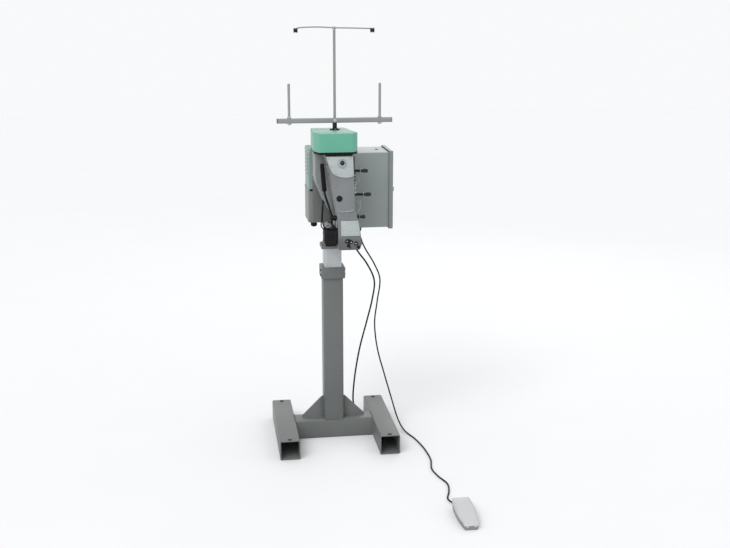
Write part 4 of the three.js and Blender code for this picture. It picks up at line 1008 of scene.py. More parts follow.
# ------------------------------------------------------- thread tensions
STUDS = {"top": (1136, 58, 46, 108, 100, 118), "mid": (1045, 61, 46, 120, 112, 130),
         "low": (958, 76.5, 60, 101, 97, 108)}
for key, (z, fc, seat, end, nut, tip) in STUDS.items():
    p = Piece("tension_assembly_" + key, "carriage", ["blackox", "blackox", "zinc"],
              ("tension_stud_" + key,))
    p.add(lathe("x", -185, z, [(0, seat), (3.9, seat), (3.9, fc + 1.5), (9, fc + 1.5), (9.2, fc + 2.2),
                               (9, fc + 4), (6, fc + 4.6), (3.5, fc + 5), (3.2, end + 0.1), (0, end + 0.3)],
                32))
    for k, dish in ((nut - 13.4, 1), (nut - 12.2, -1)):
        p.add(lathe("x", -185, z, [(3.6, k - 0.3), (8, k - 0.3), (12, k + 0.9 * dish), (12, k + 0.9 * dish + 0.5),
                                   (8, k + 0.4), (3.6, k + 0.4), (3.6, k - 0.3)], 36), 2)
    a0, a1 = fc + 5.2, nut - 14.6
    turns_n = max(2, int((a1 - a0) / 3.0))
    helix = [(a0 + (a1 - a0) * i / (turns_n * 14), -185 + 5.4 * math.cos(2 * PI * i / 14),
              z + 5.4 * math.sin(2 * PI * i / 14)) for i in range(turns_n * 14 + 1)]
    p.add(tube(helix, 0.7, 7), 1)
    helix = [(nut - 11.4 + 2.8 * i / 28, -185 + 4.6 * math.cos(2 * PI * i / 14),
              z + 4.6 * math.sin(2 * PI * i / 14)) for i in range(29)]
    p.add(tube(helix, 0.6, 7), 1)
    p.done()
    q = Piece("tension_knob_" + key, "tension_nut_" + key, ["blackgloss", "zinc"],
              ("tension_nut_" + key,))
    n = 48
    def knurl(h, base, deep):
        return [( (base - (deep if i % 2 else 0)) * math.cos(2 * PI * i / n) - 185,
                  (base - (deep if i % 2 else 0)) * math.sin(2 * PI * i / n) + z) for i in range(n)]
    q.add(hollow("x", knurl(0, 7.6, 0.5), circle(-185, z, 3.9, n), nut, min(tip - 3, end + 0.8) - 0.2), 0)
    q.add(lathe("x", -185, z, [(3.9, nut - 8), (5.6, nut - 8), (6, nut - 7.5), (6, nut + 0.4), (3.9, nut + 0.4),
                               (3.9, nut - 8)], 30), 0)
    q.add(lathe("x", -185, z, [(0, min(end + 0.8, tip - 3)), (7.5, min(end + 0.8, tip - 3)), (7.5, tip - 3),
                               (6.4, tip - 0.4), (5.8, tip), (0, tip)], 40), 0)
    q.done(25)
wires = Piece("thread_guide_wires", "carriage", ["steel", "zinc"])
for pts, r in (([(60.5, -206, 1124), (74, -209, 1118), (80, -208, 1104), (72, -206, 1094),
                 (66, -205, 1098), (68, -205, 1106)], 0.9),
               ([(60.5, -206, 1030), (76, -210, 1022), (86, -209, 1004), (80, -206, 984),
                 (70, -204, 980), (68, -203, 990)], 0.9),
               ([(66, -206, 985), (82, -210, 992), (88, -210, 1012), (84, -208, 1026)], 0.8)):
    wires.add(tube(catmull(pts, 8), r, 8), 0)
wires.done()

# ----------------------------------------------------------- lifter lever
lev = Piece("lifter_lever_rod", "lifter", ["blackpaint", "blackox"], ("lifter_lever",))
lev.add(lathe("x", -205, 960, [(0, 2), (4, 2), (4, -7), (9.4, -7), (10, -7.6), (10, -14), (9, -16), (8, -28),
                               (7, -29), (0, -29)], 36))
lev.add(box(-27, -19, -208, -202, 935, 972, 1.6, 3))
lev.add(box(-27, -20, -220, -190, 956, 964, 1.6, 3))
lev.add(tube(catmull([(-21, -205, 960), (-35.7, -206, 1009), (-50.5, -207, 1058), (-55.2, -208, 1112),
                      (-60, -209, 1166)], 8), 4.0, 16), 0)
lev.add(screw((-28.8, -205, 960), (-1, 0, 0), 4.6, "hexsocket", 2.6), 1)
for y in (-216, -194):
    lev.add(screw((-26.8, y, 960), (-1, 0, 0), 2.4, "hexsocket", 1.6), 1)
lev.done()
grip = Piece("lifter_grip_ribbed", "lifter", ["rubber"], ("lifter_grip",))
b3, c3 = Vector((-50.5, -207, 1058)), Vector((-60, -209, 1166))
al = (c3 - b3).normalized()
gp = [b3 + al * (6 + 106 * i / 60) for i in range(61)]


def grip_r(t):
    r = 1.0 + 0.1 * (1 - t) - 0.16 * max(0, t - 0.6)
    r *= 0.94 if (int(t * 60) % 5 == 2 and 0.06 < t < 0.94) else 1.0
    return r * min(1.0, 0.72 + 9 * t, 0.62 + 9 * (1 - t))


grip.add(tube(gp, 8.4, 24, grip_r))
grip.done(60)

# ---------------------------------------------------------- thread cutter
cut = Piece("cutter_solenoid_coil", "carriage", ["blackpaint", "blackox", "zinc", "pvc", "cast", "black"],
            ("cutter_solenoid",))
for i in range(9):
    y = -236 + 6.0 * i
    cut.add(carve(box(-56, -4.3, y, y + 5.3, 866, 918, 0.6, 2),
                  lathe("y", -9.5, 873, [(0, 240), (2.9, 240), (2.9, 178), (0, 178)], 16)), 0)
prof = [(0, 184), (24, 184), (24, 188)]
for i in range(28):
    prof += [(22.6, 188.6 + 1.6 * i), (23.4, 189.4 + 1.6 * i)]
prof += [(24, 234), (24, 237.6), (23, 238), (12, 238), (11, 236.4), (6, 236.4), (5, 238.4), (0, 238.4)]
cut.add(lathe("y", -32, 892, prof, 44), 5)
cut.add(lathe("y", -40, 935, [(9.5, 190), (9.5, 222.6), (8.6, 224), (5, 224), (4, 222.6), (4, 215), (0, 215),
                              (0, 190), (9.5, 190)], 36), 4)
cut.add(box(-46, -34, -222, -192, 915, 930, 1.2, 2), 0)
cut.add(prism("y", [(-52, 867), (-52, 859), (-48, 855), (-12, 855), (-8, 859), (-8, 867)], -232, -190, 1.4, 3), 0)
cut.add(hexbolt((-30, -211, 855), (0, 0, -1), 7, 3.2), 1)
cut.add(box(-16.5, -10, -184, -140, 886, 904, 1.2, 2), 2)
cut.add(lathe("x", -148, 895, [(0, -12), (2.6, -12), (2.8, -11.6), (2.8, -4.6), (0, -4.6)], 24), 2)
for u, v in ((-50, 872), (-50, 912), (-12, 912)):
    cut.add(hexbolt((u, -236, v), (0, -1, 0), 6.5, 3.2), 1)
for z in (876, 906):
    cut.add(screw((-56, -208, z), (-1, 0, 0), 3.0, "hexsocket", 2.6), 1)
cut.add(lathe("y", -18, 926, [(0, 196), (7.5, 196), (7.5, 229), (6.6, 230), (3, 230), (3, 226), (0, 226)], 30), 5)
cut.add(box(-24, -8, -226, -196, 914, 922, 1.2, 2), 0)
cut.add(tube(catmull([(-52, -192, 914), (-62, -186, 926), (-60, -176, 950), (-54, -150, 985),
                      (-47, -114, 1008)], 8), 2.3, 12), 3)
cut.add(tube(catmull([(-46, -196, 916), (-56, -188, 934), (-55, -170, 962), (-50, -140, 992),
                      (-47, -106, 1014)], 8), 2.3, 12), 3)
cut.add(tube(catmull([(-18, -228, 930), (-24, -234, 944), (-34, -230, 950), (-38, -214, 946)], 8), 1.8, 10), 3)
cut.add(turn(lathe("z", 0, 0, [(0, 0), (6, 0), (6, 5), (4.4, 9), (0, 9)], 6), (-42, -112, 1003), (-0.9, -0.1, 0.3)), 5)
cut.done()
knife = Piece("cutter_knife_blade", "cutter_knife", ["steel_x", "zinc"], ("cutter_knife",))
knife.add(carve(prism("x", [(-153, 901), (-143, 901), (-142, 892), (-150, 880), (-134, 868), (-127, 857),
                            (-131, 855), (-146, 864), (-159.5, 868), (-159.5, 879), (-156, 888)],
                      -9.6, -6.6, 0.5, 2),
                lathe("x", -148, 895, [(0, -12), (3.1, -12), (3.1, -4), (0, -4)], 20)))
knife.done()

# -------------------------------------------------------------- belt guard
HOOD = [(-73, -252), (53, -252), (74, -222), (44, -52), (-86, -52), (-90, -208)]
HOOD_IN = [(-71.1, -250), (51.8, -250), (71.4, -221.5), (42, -54), (-84, -54), (-87.9, -207.6)]
REAR = [(-56, -60), (34, -60), (34, 160), (10, 184), (-32, 184), (-56, 160)]
REAR_IN = [(-54, -80), (32, -80), (32, 159), (9, 182), (-31, 182), (-54, 159)]
REAR_LIP = [(-49.5, -80), (27.5, -80), (27.5, 154), (4, 178), (-26, 178), (-49.5, 154)]
shell = carve(prism("z", HOOD, 1205, 1287, 3.4, 4), prism("z", REAR, 1205, 1255, 2.6, 3), op="UNION")
shell = carve(shell, box(-120, 120, -300, 220, 1180, 1217),
              prism("z", HOOD_IN, 1190, 1285, 2.0, 2), prism("z", REAR_IN, 1218.5, 1253, 1.6, 2),
              prism("z", REAR_LIP, 1190, 1222))
guard = Piece("belt_guard_sheet", "carriage", ["green", "zinc", "blackox", "rubber"], ("belt_guard",))
guard.add(shell)
hem = [Vector((x, y, 1217.8)) for x, y in HOOD]
path = []
for i, p in enumerate(hem):
    q = hem[(i + 1) % 6]
    d = (q - p)
    path += [p + d * 0.03, p + d * 0.97]
path = [path[-1]] + path
guard.add(tube(path, 1.5, 10), 0)
# Black rubber skirt that closes the gap between the hood and the head, put where that gap lies in shade: a painted
# shadow.
mix = lambda k: [(u + (ui - u) * k, v + (vi - v) * k) for (u, v), (ui, vi) in zip(HOOD, HOOD_IN)]
guard.add(hollow("z", mix(0.3), mix(1.6), 1207.4, 1217.4, 0.5, 2), 3)
for x0, x1, y0, y1, z0 in ((-56, -50, -44, -14, 1203.3), (28, 34, -44, -14, 1203.3),
                           (-56, -50, 96, 126, 1190.3), (28, 34, 96, 126, 1190.3)):
    guard.add(box(x0, x1, y0, y1, z0, 1218, 0.8, 2), 0)
    xa, xb = (x0 - 12, x1) if x0 < 0 else (x0, x1 + 12)
    guard.add(box(xa + 0.35, xb - 0.35, y0 + 0.35, y1 - 0.35, z0 - 0.25, z0 + 3, 0.8, 2), 0)
    xc = (xa + 6) if x0 < 0 else (xb - 6)
    for y in (y0 + 7, y1 - 7):
        guard.add(hexbolt((xc, y, z0 + 3), (0, 0, 1), 7, 3.4), 1)
for y in (-190, -80):
    t = (-52 - y) / 170.0
    guard.add(screw((44 + 30 * t, y, 1232), (0.985, 0.17, 0), 3.6, "cross"), 1)
for y in (-180, -76):
    guard.add(screw((-86 - (y + 52) * -4 / 156.0, y, 1232), (-1, 0, 0), 3.6, "cross"), 1)
for x, y in ((-48, -22), (26, -22), (-48, 60), (26, 60), (-48, 140), (26, 140)):
    guard.add(screw((x, y, 1255), (0, 0, 1), 3.4, "cross"), 1)
# Vent slots pressed in the lower channel's sides, each with a black strip beneath as painted shade for its opening.
for y in (-10, 30, 70, 110):
    guard.add(box(33.4, 36.4, y, y + 24, 1232, 1238, 1.2, 3), 0)
    guard.add(box(33.6, 34.6, y + 1, y + 23, 1229.6, 1232.2, 0.1, 1), 3)
    guard.add(box(-58.4, -55.4, y, y + 24, 1232, 1238, 1.2, 3), 0)
    guard.add(box(-56.6, -55.6, y + 1, y + 23, 1229.6, 1232.2, 0.1, 1), 3)
guard.done(30)

# ------------------------------------------------------------- thread stand
post = Piece("stand_post_turned", "carriage", ["bar", "zinc", "blackox"], ("stand_post",))
post.add(lathe("z", -1, -130, [(0, 1287.3), (18.4, 1287.3), (19, 1287.9), (19, 1290.4), (18.4, 1291),
                               (10, 1291.6), (8.5, 1293), (8.5, 1312), (7.8, 1313.7), (0, 1313.7)], 36), 2)
post.add(lathe("z", -1, -130, [(0, 1313.2), (5, 1313.2), (5, 1657.4), (4.4, 1658), (0, 1658)], 36), 0)
for a in (0.6, 0.6 + 2 * PI / 3, 0.6 + 4 * PI / 3):
    post.add(screw((-1 + 14.4 * math.cos(a), -130 + 14.4 * math.sin(a), 1291), (0, 0, 1), 2.7, "cross"), 1)
post.add(turn(lathe("z", 0, 0, [(0, 0), (2.6, 0), (2.6, 5), (6, 5), (6, 11), (5, 12), (0, 12)], 20),
              (-1, -138, 1303), (0, -1, 0)), 2)
post.done()
bar = Piece("spool_bar_tube", "carriage", ["bar", "black", "zinc"], ("spool_bar",))
sec = [(v, w) for v, w in rr(-140, -120, 1314, 1332, 3.5, 5)]
bar.add(carve(prism("x", sec, -219, 217), lathe("z", -1, -130, [(0, 1300), (5.3, 1300), (5.3, 1340), (0, 1340)], 24),
              lathe("z", -174, -130, [(0, 1300), (5.3, 1300), (5.3, 1340), (0, 1340)], 20),
              lathe("z", 172, -130, [(0, 1300), (5.3, 1300), (5.3, 1340), (0, 1340)], 20)))
for xa, xb in ((-221, -219), (217, 219)):
    bar.add(prism("x", [(v, w) for v, w in rr(-140, -120, 1314, 1332, 3.5, 5)], xa, xb, 0.7, 2), 1)
for x in (-174, 172):
    bar.add(hexbolt((x, -130, 1314), (0, 0, -1), 12, 5), 2)
bar.add(hexbolt((-1, -140, 1323), (0, -1, 0), 8, 3.6), 2)
bar.done()
for side, x in (("left", -174), ("right", 172)):
    p = Piece("spool_pin_turned_" + side, "carriage", ["bar", "zinc"], ("spool_pin_" + side,))
    p.add(lathe("z", x, -130, [(0, 1316), (5, 1316), (5, 1332.3), (8, 1332.3), (8, 1334.6), (7.4, 1335),
                               (5, 1335), (5, 1338), (4.9, 1338.4), (4.9, 1459.4), (4.4, 1461), (3, 1462),
                               (0, 1462)], 32))
    p.add(turn(lathe("z", 0, 0, [(0, 0), (6.8, 0), (6.8, 3.4), (6.2, 4.2), (0, 4.2)], 6), (x, -130, 1335), (0, 0, 1)), 1)
    p.done()
gb = Piece("thread_guide_bar", "carriage", ["bar", "blackgloss", "zinc"], ("guide_bar",))
gb.add(tube(catmull([(-145, -130, 1662), (-127, -130, 1667), (-61, -130, 1669), (-1, -130, 1666),
                     (59, -130, 1665), (131, -130, 1663), (143, -130, 1662)], 8), 2.4, 14), 0)
for x in (-145, 143):
    prof = [(r, x + u) for r, u in ((4.4, -5.6), (5.2, -6.8), (6.8, -7.4), (8.6, -7), (9.4, -5.8), (9.2, -4.4), (7.8, -3),
                                    (7.4, 0), (7.8, 3), (9.2, 4.4), (9.4, 5.8), (8.6, 7), (6.8, 7.4), (5.2, 6.8),
                                    (4.4, 5.6), (4.1, 0), (4.4, -5.6))]
    gb.add(lathe("x", -130, 1657, prof, 32), 1)
gb.add(lathe("z", -1, -130, [(0, 1658.3), (6.2, 1658.3), (6.5, 1659), (6.5, 1670), (5.6, 1671), (0, 1671)], 32), 2)
gb.add(screw((-1, -136.2, 1664), (0, -1, 0), 2.4, "hexsocket", 1.6), 1)
gb.done()

REPLACED |= {"head_body", "upper_cover", "oil_cap", "face_cover", "needle_bar", "presser_foot",
             "needle_plate", "feed_dog", "tension_stud_top", "tension_stud_mid", "tension_stud_low",
             "tension_nut_top", "tension_nut_mid", "tension_nut_low", "lifter_lever", "lifter_grip",
             "cutter_solenoid", "cutter_knife", "belt_guard", "stand_post", "spool_bar",
             "spool_pin_left", "spool_pin_right", "guide_bar"}

# ------------------------------------------------------------- control box
cb = carve(box(60, 255, 60, 250, 865, 1172, 4.0, 4), box(241, 300, 0, 300, 800, 1300))
cb = carve(cb, box(61.5, 300, 61.5, 248.5, 866.5, 1170.5, 2.4, 3),
           lathe("z", 90, 110, [(0, 860), (8.3, 860), (8.3, 870), (0, 870)], 24),
           lathe("z", 125, 110, [(0, 860), (8.3, 860), (8.3, 870), (0, 870)], 24),
           lathe("x", 228, 920, [(0, 55), (8.3, 55), (8.3, 66), (0, 66)], 24))
cbox = Piece("control_box_shell", "carriage", ["box", "zinc", "rubber", "black", "door"], ("control_box",))
cbox.add(cb)
# Folded lips around the opening, with the door's rubber seal on them.
for z0, z1 in ((867.5, 988), (1048, 1169.5)):
    cbox.add(box(229, 241, 61.2, 66.2, z0, z1, 0.8, 2), 0)
cbox.add(box(229, 241, 243.8, 248.8, 867.5, 1169.5, 0.8, 2), 0)
cbox.add(box(229, 241, 66, 244, 1164.6, 1170.8, 0.8, 2), 0)
cbox.add(box(229, 241, 66, 244, 866.2, 872.4, 0.8, 2), 0)
seal = [(241.4, 63.7, 870), (241.4, 63.7, 1167), (241.4, 246.3, 1167), (241.4, 246.3, 870)]
for i in range(4):
    a, b = Vector(seal[i]), Vector(seal[(i + 1) % 4])
    cbox.add(tube([a, b], 0.9, 10), 2)
cbox.add(box(239.6, 241, 61, 72, 1000, 1036, 0.4, 2), 1)
for z0, z1 in ((930.4, 958), (1078, 1106.6)):
    cbox.add(prism("z", [(232, 249.5), (241, 249.5), (241, 257.6), (247, 260), (245, 266), (241, 264),
                         (232, 252.5)], z0, z1, 0.5, 2), 4)
    cbox.add(lathe("z", 246, 263, [(2.3, z0), (4.6, z0), (5, z0 + 0.5), (5, z1 - 0.5), (4.6, z1), (2.3, z1),
                                   (2.3, z0)], 28), 4)
    for z in (z0 + 7, z1 - 7):
        cbox.add(screw((236.5, 252.2, z), (0, 1, 0), 2.6, "cross"), 1)
# Gland plate beneath, blanking plugs on top, louvres and fixings behind.
cbox.add(box(72, 146, 88, 132, 863.2, 865.6, 0.7, 2), 0)
for x in (76, 142):
    for y in (92, 128):
        cbox.add(screw((x, y, 863.4), (0, 0, -1), 2.6, "cross"), 1)
for x in (96, 204):
    cbox.add(lathe("z", x, 155, [(0, 1171), (7, 1171), (7, 1172.8), (5.8, 1173.8), (0, 1173.8)], 32), 3)
# Each louvre has a black strip beneath it as painted shade for its opening.
for i in range(6):
    z = 1120 - 14 * i
    cbox.add(prism("x", [(250, z + 4.6), (253.4, z - 1.4), (253.6, z - 2.6), (252.6, z - 2.8), (250, z - 3.4)],
                   100, 200, 0.3, 1), 0)
    cbox.add(box(102, 198, 249.4, 250.5, z - 6.2, z - 3.6, 0.1, 1), 2)
for x in (80, 205):
    for z in (900, 1080):
        cbox.add(hexbolt((x, 262, z), (0, 1, 0), 10, 4.6), 1)
cbox.add(box(150, 226, 62.0, 62.9, 1100, 1166, 0.2), 0)
cbox.done()

pan = carve(box(238, 258, 54, 256, 859, 1178, 3.6, 4), box(200, 241.3, 0, 300, 800, 1300))
pan = carve(pan, box(200, 256.5, 55.5, 254.5, 860.5, 1176.5, 2.0, 3),
            lathe("x", 110, 1130, [(0, 230), (9.4, 230), (9.4, 270), (0, 270)], 32),
            lathe("x", 160, 1130, [(0, 230), (8.4, 230), (8.4, 270), (0, 270)], 32),
            lathe("x", 84, 1018, [(0, 230), (8.4, 230), (8.4, 270), (0, 270)], 32))
door = Piece("control_door_pan", "door", ["door", "zinc", "rubber", "black", "steel_x"], ("control_door",))
door.add(pan)
door.add(lathe("x", 110, 1130, [(9.4, 257), (14, 257), (14, 260.4), (12.8, 262), (9.9, 262), (9.4, 261.4),
                                (9.4, 257)], 40), 4)
door.add(lathe("x", 160, 1130, [(8.4, 257), (14, 257), (14, 258.8), (12.8, 260), (8.9, 260), (8.4, 259.4),
                                (8.4, 257)], 40), 4)
door.add(lathe("x", 84, 1018, [(8.4, 256.2), (10.6, 256.2), (10.6, 258.2), (8.4, 258.2), (8.4, 256.2)], 40), 1)
for z0, z1 in ((902, 930), (1107, 1135)):
    door.add(prism("z", [(243, 255), (256, 255), (250, 263), (243, 263)], z0, z1, 0.6, 2), 0)
    door.add(lathe("z", 246, 263, [(2.3, z0), (4.6, z0), (5, z0 + 0.5), (5, z1 - 0.5), (4.6, z1), (2.3, z1),
                                   (2.3, z0)], 28), 0)
# Stiffening rib pressed in the door, and the nuts behind the buttons.
door.add(prism("x", rr(96, 214, 884, 990, 10, 6), 257.0, 258.9, 0.7, 2), 0)
for y, r in ((110, 15), (160, 15)):
    door.add(lathe("x", y, 1130, [(11.2, 253.4), (r, 253.4), (r, 256.6), (11.2, 256.6), (11.2, 253.4)], 6), 3)
door.done()

lock = Piece("door_lock_quarter_turn", "door_lock", ["zinc", "steel_x", "blackox"], ("door_lock",))
lock.add(lathe("x", 84, 1018, [(0, 236), (7.6, 236), (8, 236.4), (8, 258.3), (11, 258.3), (11, 260.6),
                               (10.4, 261.4), (9.2, 262), (0, 262)], 40), 0)
lock.add(box(261.4, 267, 82, 86, 1010, 1026, 1.3, 3), 1)
lock.add(box(236, 238.5, 77, 91, 1018, 1039, 1.0, 2), 1)
lock.add(hexbolt((236.2, 84, 1018), (-1, 0, 0), 5.4, 0.0 + 0.1, False), 2)
lock.done()
btn = Piece("start_push_button", "start_button", ["greenbtn", "black"], ("start_button",))
btn.add(lathe("x", 110, 1130, [(0, 244), (8, 244), (8.4, 244.5), (8.4, 258), (9, 258.5), (9, 264.4), (8.4, 265.4),
                               (7.2, 266), (4, 265.4), (0, 265.2)], 40), 0)
btn.done()
btn = Piece("stop_mushroom_button", "stop_button", ["redbtn", "black"], ("stop_button",))
prof = [(0, 244), (8, 244), (8, 266), (12, 266.2), (16.2, 266.6), (17, 267.6), (17, 269.4)]
prof += [(17 * math.cos(a), 269.4 + 6.6 * math.sin(a)) for a in [PI / 2 * i / 8 for i in range(1, 8)]]
prof += [(0, 276)]
btn.add(lathe("x", 160, 1130, prof, 48), 0)
btn.done(45)

gear = Piece("control_gear_plate", "carriage",
             ["zinc", "amber", "black", "steel_x", "wire_blue", "wire_brown", "greenbtn", "box"],
             ("control_plate",))
gear.add(box(76, 224, 244.5, 248.2, 884, 1150, 0.7, 2), 0)
for x in (82, 218):
    for z in (890, 1144):
        gear.add(screw((x, 244.6, z), (0, -1, 0), 3.2, "cross"), 3)
gear.add(prism("x", [(246, 1062), (246, 1070), (244.4, 1070), (243.6, 1068.6), (239.6, 1068.6), (238, 1070),
                     (238, 1068), (239, 1067), (243, 1066.6), (243, 1065.4), (239, 1065), (238, 1064),
                     (238, 1062), (239.6, 1063.4), (243.6, 1063.4), (244.4, 1062)], 82, 218), 3)
# Contactor.
gear.add(box(90, 136, 190, 240, 1034, 1098, 1.6, 2), 2)
gear.add(box(94, 132, 168, 192, 1044, 1088, 1.6, 2), 1)
gear.add(box(104, 122, 166, 170, 1056, 1076, 1.0, 2), 2)
for z0, z1 in ((1028, 1044), (1088, 1104)):
    gear.add(box(90, 136, 178, 238, z0, z1, 1.2, 2), 2)
    for i in range(4):
        x = 96 + 11.4 * i
        gear.add(box(x - 3.6, x + 3.6, 176.8, 179, z0 + 4, z1 - 4, 0.4, 1), 0)
        gear.add(screw((x, 177, (z0 + z1) / 2), (0, -1, 0), 2.8, "cross", 1.0), 3)
# Overload relay.
gear.add(box(146, 182, 184, 240, 1032, 1100, 1.6, 2), 1)
gear.add(box(148, 180, 172, 186, 1044, 1088, 1.4, 2), 7)
gear.add(lathe("y", 157, 1070, [(0, -173.4), (5, -173.4), (5, -171), (4, -170.2), (0, -170.2)], 24), 4)
gear.add(box(164, 174, 169.6, 173, 1052, 1060, 0.6), 6)
for z0, z1 in ((1026, 1036), (1096, 1106)):
    gear.add(box(146, 182, 180, 236, z0, z1, 1.0, 2), 2)
    for i in range(3):
        gear.add(screw((153 + 11 * i, 180.2, (z0 + z1) / 2), (0, -1, 0), 2.4, "cross", 0.8), 3)
# Terminal row and wiring trunk.
for i in range(13):
    x = 84.4 + 10.1 * i
    col = 4 if i in (3, 7) else (6 if i == 12 else 7)
    gear.add(box(x, x + 9.5, 206, 246, 940, 966, 0.8, 1), col)
    for z in (945, 961):
        gear.add(screw((x + 4.7, 206.2, z), (0, -1, 0), 2.2, "slot", 0.8), 3)
for k, (xa, xb, mi) in enumerate(((96, 94, 2), (107.4, 104, 5), (118.8, 115, 4), (130.2, 128, 2),
                                 (153, 150, 5), (164, 162, 2), (175, 176, 4))):
    zt = 1031 if xa < 140 else 1027
    gear.add(tube(catmull([(xa, 178 if xa < 140 else 182, zt), (xa, 172 - k % 3, zt - 12),
                           ((xa + xb) / 2, 186 - 2 * (k % 3), 1000 - 4 * k), (xb, 200 - (k % 3), 978),
                           (xb, 210, 967)], 6), 1.25, 8), mi)
for k, x in enumerate((88, 98.2, 118.4, 128.6)):
    gear.add(tube(catmull([(x, 212, 940), (x, 206, 926), (x + (92 - x) * 0.4, 170 - 8 * (k % 2), 900),
                           (90 + 34 * (k % 2) + (k // 2) * 2, 112, 880), (90 + 35 * (k % 2), 110, 874)], 6),
                  1.25, 8), (4, 5, 2, 5)[k])
gear.done()

# ------------------------------------------------------------ motor housing
mb = carve(prism("z", rr(-86, 56, 60, 200, 6, 6), 1020, 1190, 3.0, 3),
           box(-200, 200, -100, 300, 1000, 1030),
           box(-84, 54, 62, 198, 1010, 1188, 2, 2),
           lathe("z", -10, 130, [(0, 1180), (26, 1180), (26, 1200), (0, 1200)], 40))
mbox = Piece("motor_box_shell", "carriage", ["motor", "zinc", "rubber", "blackox"], ("motor_box",))
mbox.add(mb)
# Louvres on the left side and the back, each with a black strip beneath as painted shade for its opening.
for i in range(6):
    z = 1168 - 15 * i
    mbox.add(prism("y", [(-86, z + 4.6), (-89.2, z - 1.2), (-89.4, z - 2.4), (-88.4, z - 2.6), (-86, z - 3.2)],
                   84, 176, 0.3, 1), 0)
    mbox.add(box(-86.5, -85.4, 86, 174, z - 6.0, z - 3.4, 0.1, 1), 2)
    mbox.add(prism("x", [(200, z + 4.6), (203.2, z - 1.2), (203.4, z - 2.4), (202.4, z - 2.6), (200, z - 3.2)],
                   -60, 30, 0.3, 1), 0)
    mbox.add(box(-58, 28, 199.4, 200.5, z - 6.0, z - 3.4, 0.1, 1), 2)
for x in (-78, 48):
    mbox.add(screw((x, 60, 1180), (0, -1, 0), 3.2, "cross"), 1)
    mbox.add(screw((x, 200, 1180), (0, 1, 0), 3.2, "cross"), 1)
for y in (70, 190):
    mbox.add(screw((-86, y, 1040), (-1, 0, 0), 3.4, "cross"), 1)
    mbox.add(screw((-86, y, 1180), (-1, 0, 0), 3.4, "cross"), 1)
for x, y in ((-74, 72), (44, 72), (-74, 188), (44, 188)):
    mbox.add(screw((x, y, 1190), (0, 0, 1), 3.4, "cross"), 1)
mbox.add(screw((-62, 60, 1036), (0, -1, 0), 5.0, "slot", 3.0), 3)
mbox.done()
mc = carve(prism("z", rr(-87.8, 57.8, 59.8, 201.8, 7, 6), 893, 1040, 3.2, 3),
           box(-200, 200, -100, 300, 1029.7, 1100), box(-84, 54, 62, 198, 895, 1100, 2, 2),
           lathe("z", -60, 120, [(0, 880), (10.3, 880), (10.3, 900), (0, 900)], 28))
mcov = Piece("motor_cover_shell", "carriage", ["cover", "zinc", "rubber", "blackox"], ("motor_cover",))
mcov.add(mc)
mcov.add(hollow("z", rr(-88.3, 58.3, 59.8, 202.3, 7, 6), rr(-86.5, 56.5, 60.2, 200.5, 6, 6), 1021, 1029.6,
                0.7, 2), 0)
for y in (76, 186):
    mcov.add(screw((-88.2, y, 1025), (-1, 0, 0), 3.0, "cross"), 1)
    mcov.add(screw((-87.8, y, 905), (-1, 0, 0), 3.2, "cross"), 1)
for x in (-70, 40):
    mcov.add(screw((x, 202.2, 1025), (0, 1, 0), 3.0, "cross"), 1)
for x, y in ((-74, 74), (44, 74), (-74, 188), (44, 188)):
    mcov.add(lathe("z", x, y, [(0, 893.4), (6, 893.4), (6, 891), (4.8, 890), (0, 890)], 24), 2)
# A row of black strips under the cover's floor: painted shade for its vent slots.
for i in range(5):
    mcov.add(box(-30 + 14 * i, -23 + 14 * i, 110, 160, 892.4, 893.4, 0.2), 2)
mcov.done()
motor = Piece("motor_finned", "carriage", ["cast", "blackox", "zinc"], ("motor_body",))
n = 96
fins = [(-10 + (58 if i % 4 < 2 else 53.6) * math.cos(2 * PI * i / n),
         130 + (58 if i % 4 < 2 else 53.6) * math.sin(2 * PI * i / n)) for i in range(n)]
motor.add(prism("z", fins, 916, 1140), 0)
motor.add(lathe("z", -10, 130, [(0, 906), (50, 906), (58, 914), (58, 918), (0, 918)], 56), 0)
motor.add(lathe("z", -10, 130, [(0, 1138), (58, 1138), (58, 1150), (64, 1152), (64, 1164), (40, 1166), (25, 1180),
                                (9.4, 1180), (9.4, 1160), (0, 1160)], 56), 0)
for i in range(4):
    a = PI / 4 + i * PI / 2
    motor.add(hexbolt((-10 + 56 * math.cos(a), 130 + 56 * math.sin(a), 1164), (0, 0, 1), 6, 3), 2)
motor.done()

# --------------------------------------------------- pulleys and their belt
hp = Piece("head_pulley_spoked", "main_shaft", ["cast", "blackox", "steel"], ("head_pulley",))
Z = 1232
hp.add(lathe("z", -10, -185, [(8.4, 1212), (15.4, 1212), (16, 1212.6), (18, Z - 11), (45.4, Z - 11), (46, Z - 10.4),
                              (46, Z - 6.5), (33, Z - 5.6), (33, Z + 5.6), (46, Z + 6.5), (46, Z + 23),
                              (40, Z + 27), (37, Z + 14), (18, Z + 12), (16, Z + 29.4), (15.2, Z + 30),
                              (8.4, Z + 30), (8.4, 1212)], 56), 0)
for i in range(24):
    a = 2 * PI * i / 24
    hp.add(turn(lathe("z", 0, 0, [(0, -0.4), (1.6, -0.4), (1.6, 0.5), (0, 0.5)], 10),
                (-10 + 45.9 * math.cos(a), -185 + 45.9 * math.sin(a), Z + 15), (math.cos(a), math.sin(a), 0)), 0)
hp.add(screw((-10, -201, Z + 20), (0, -1, 0), 3.0, "hexsocket", 0.6), 1)
hp.done()

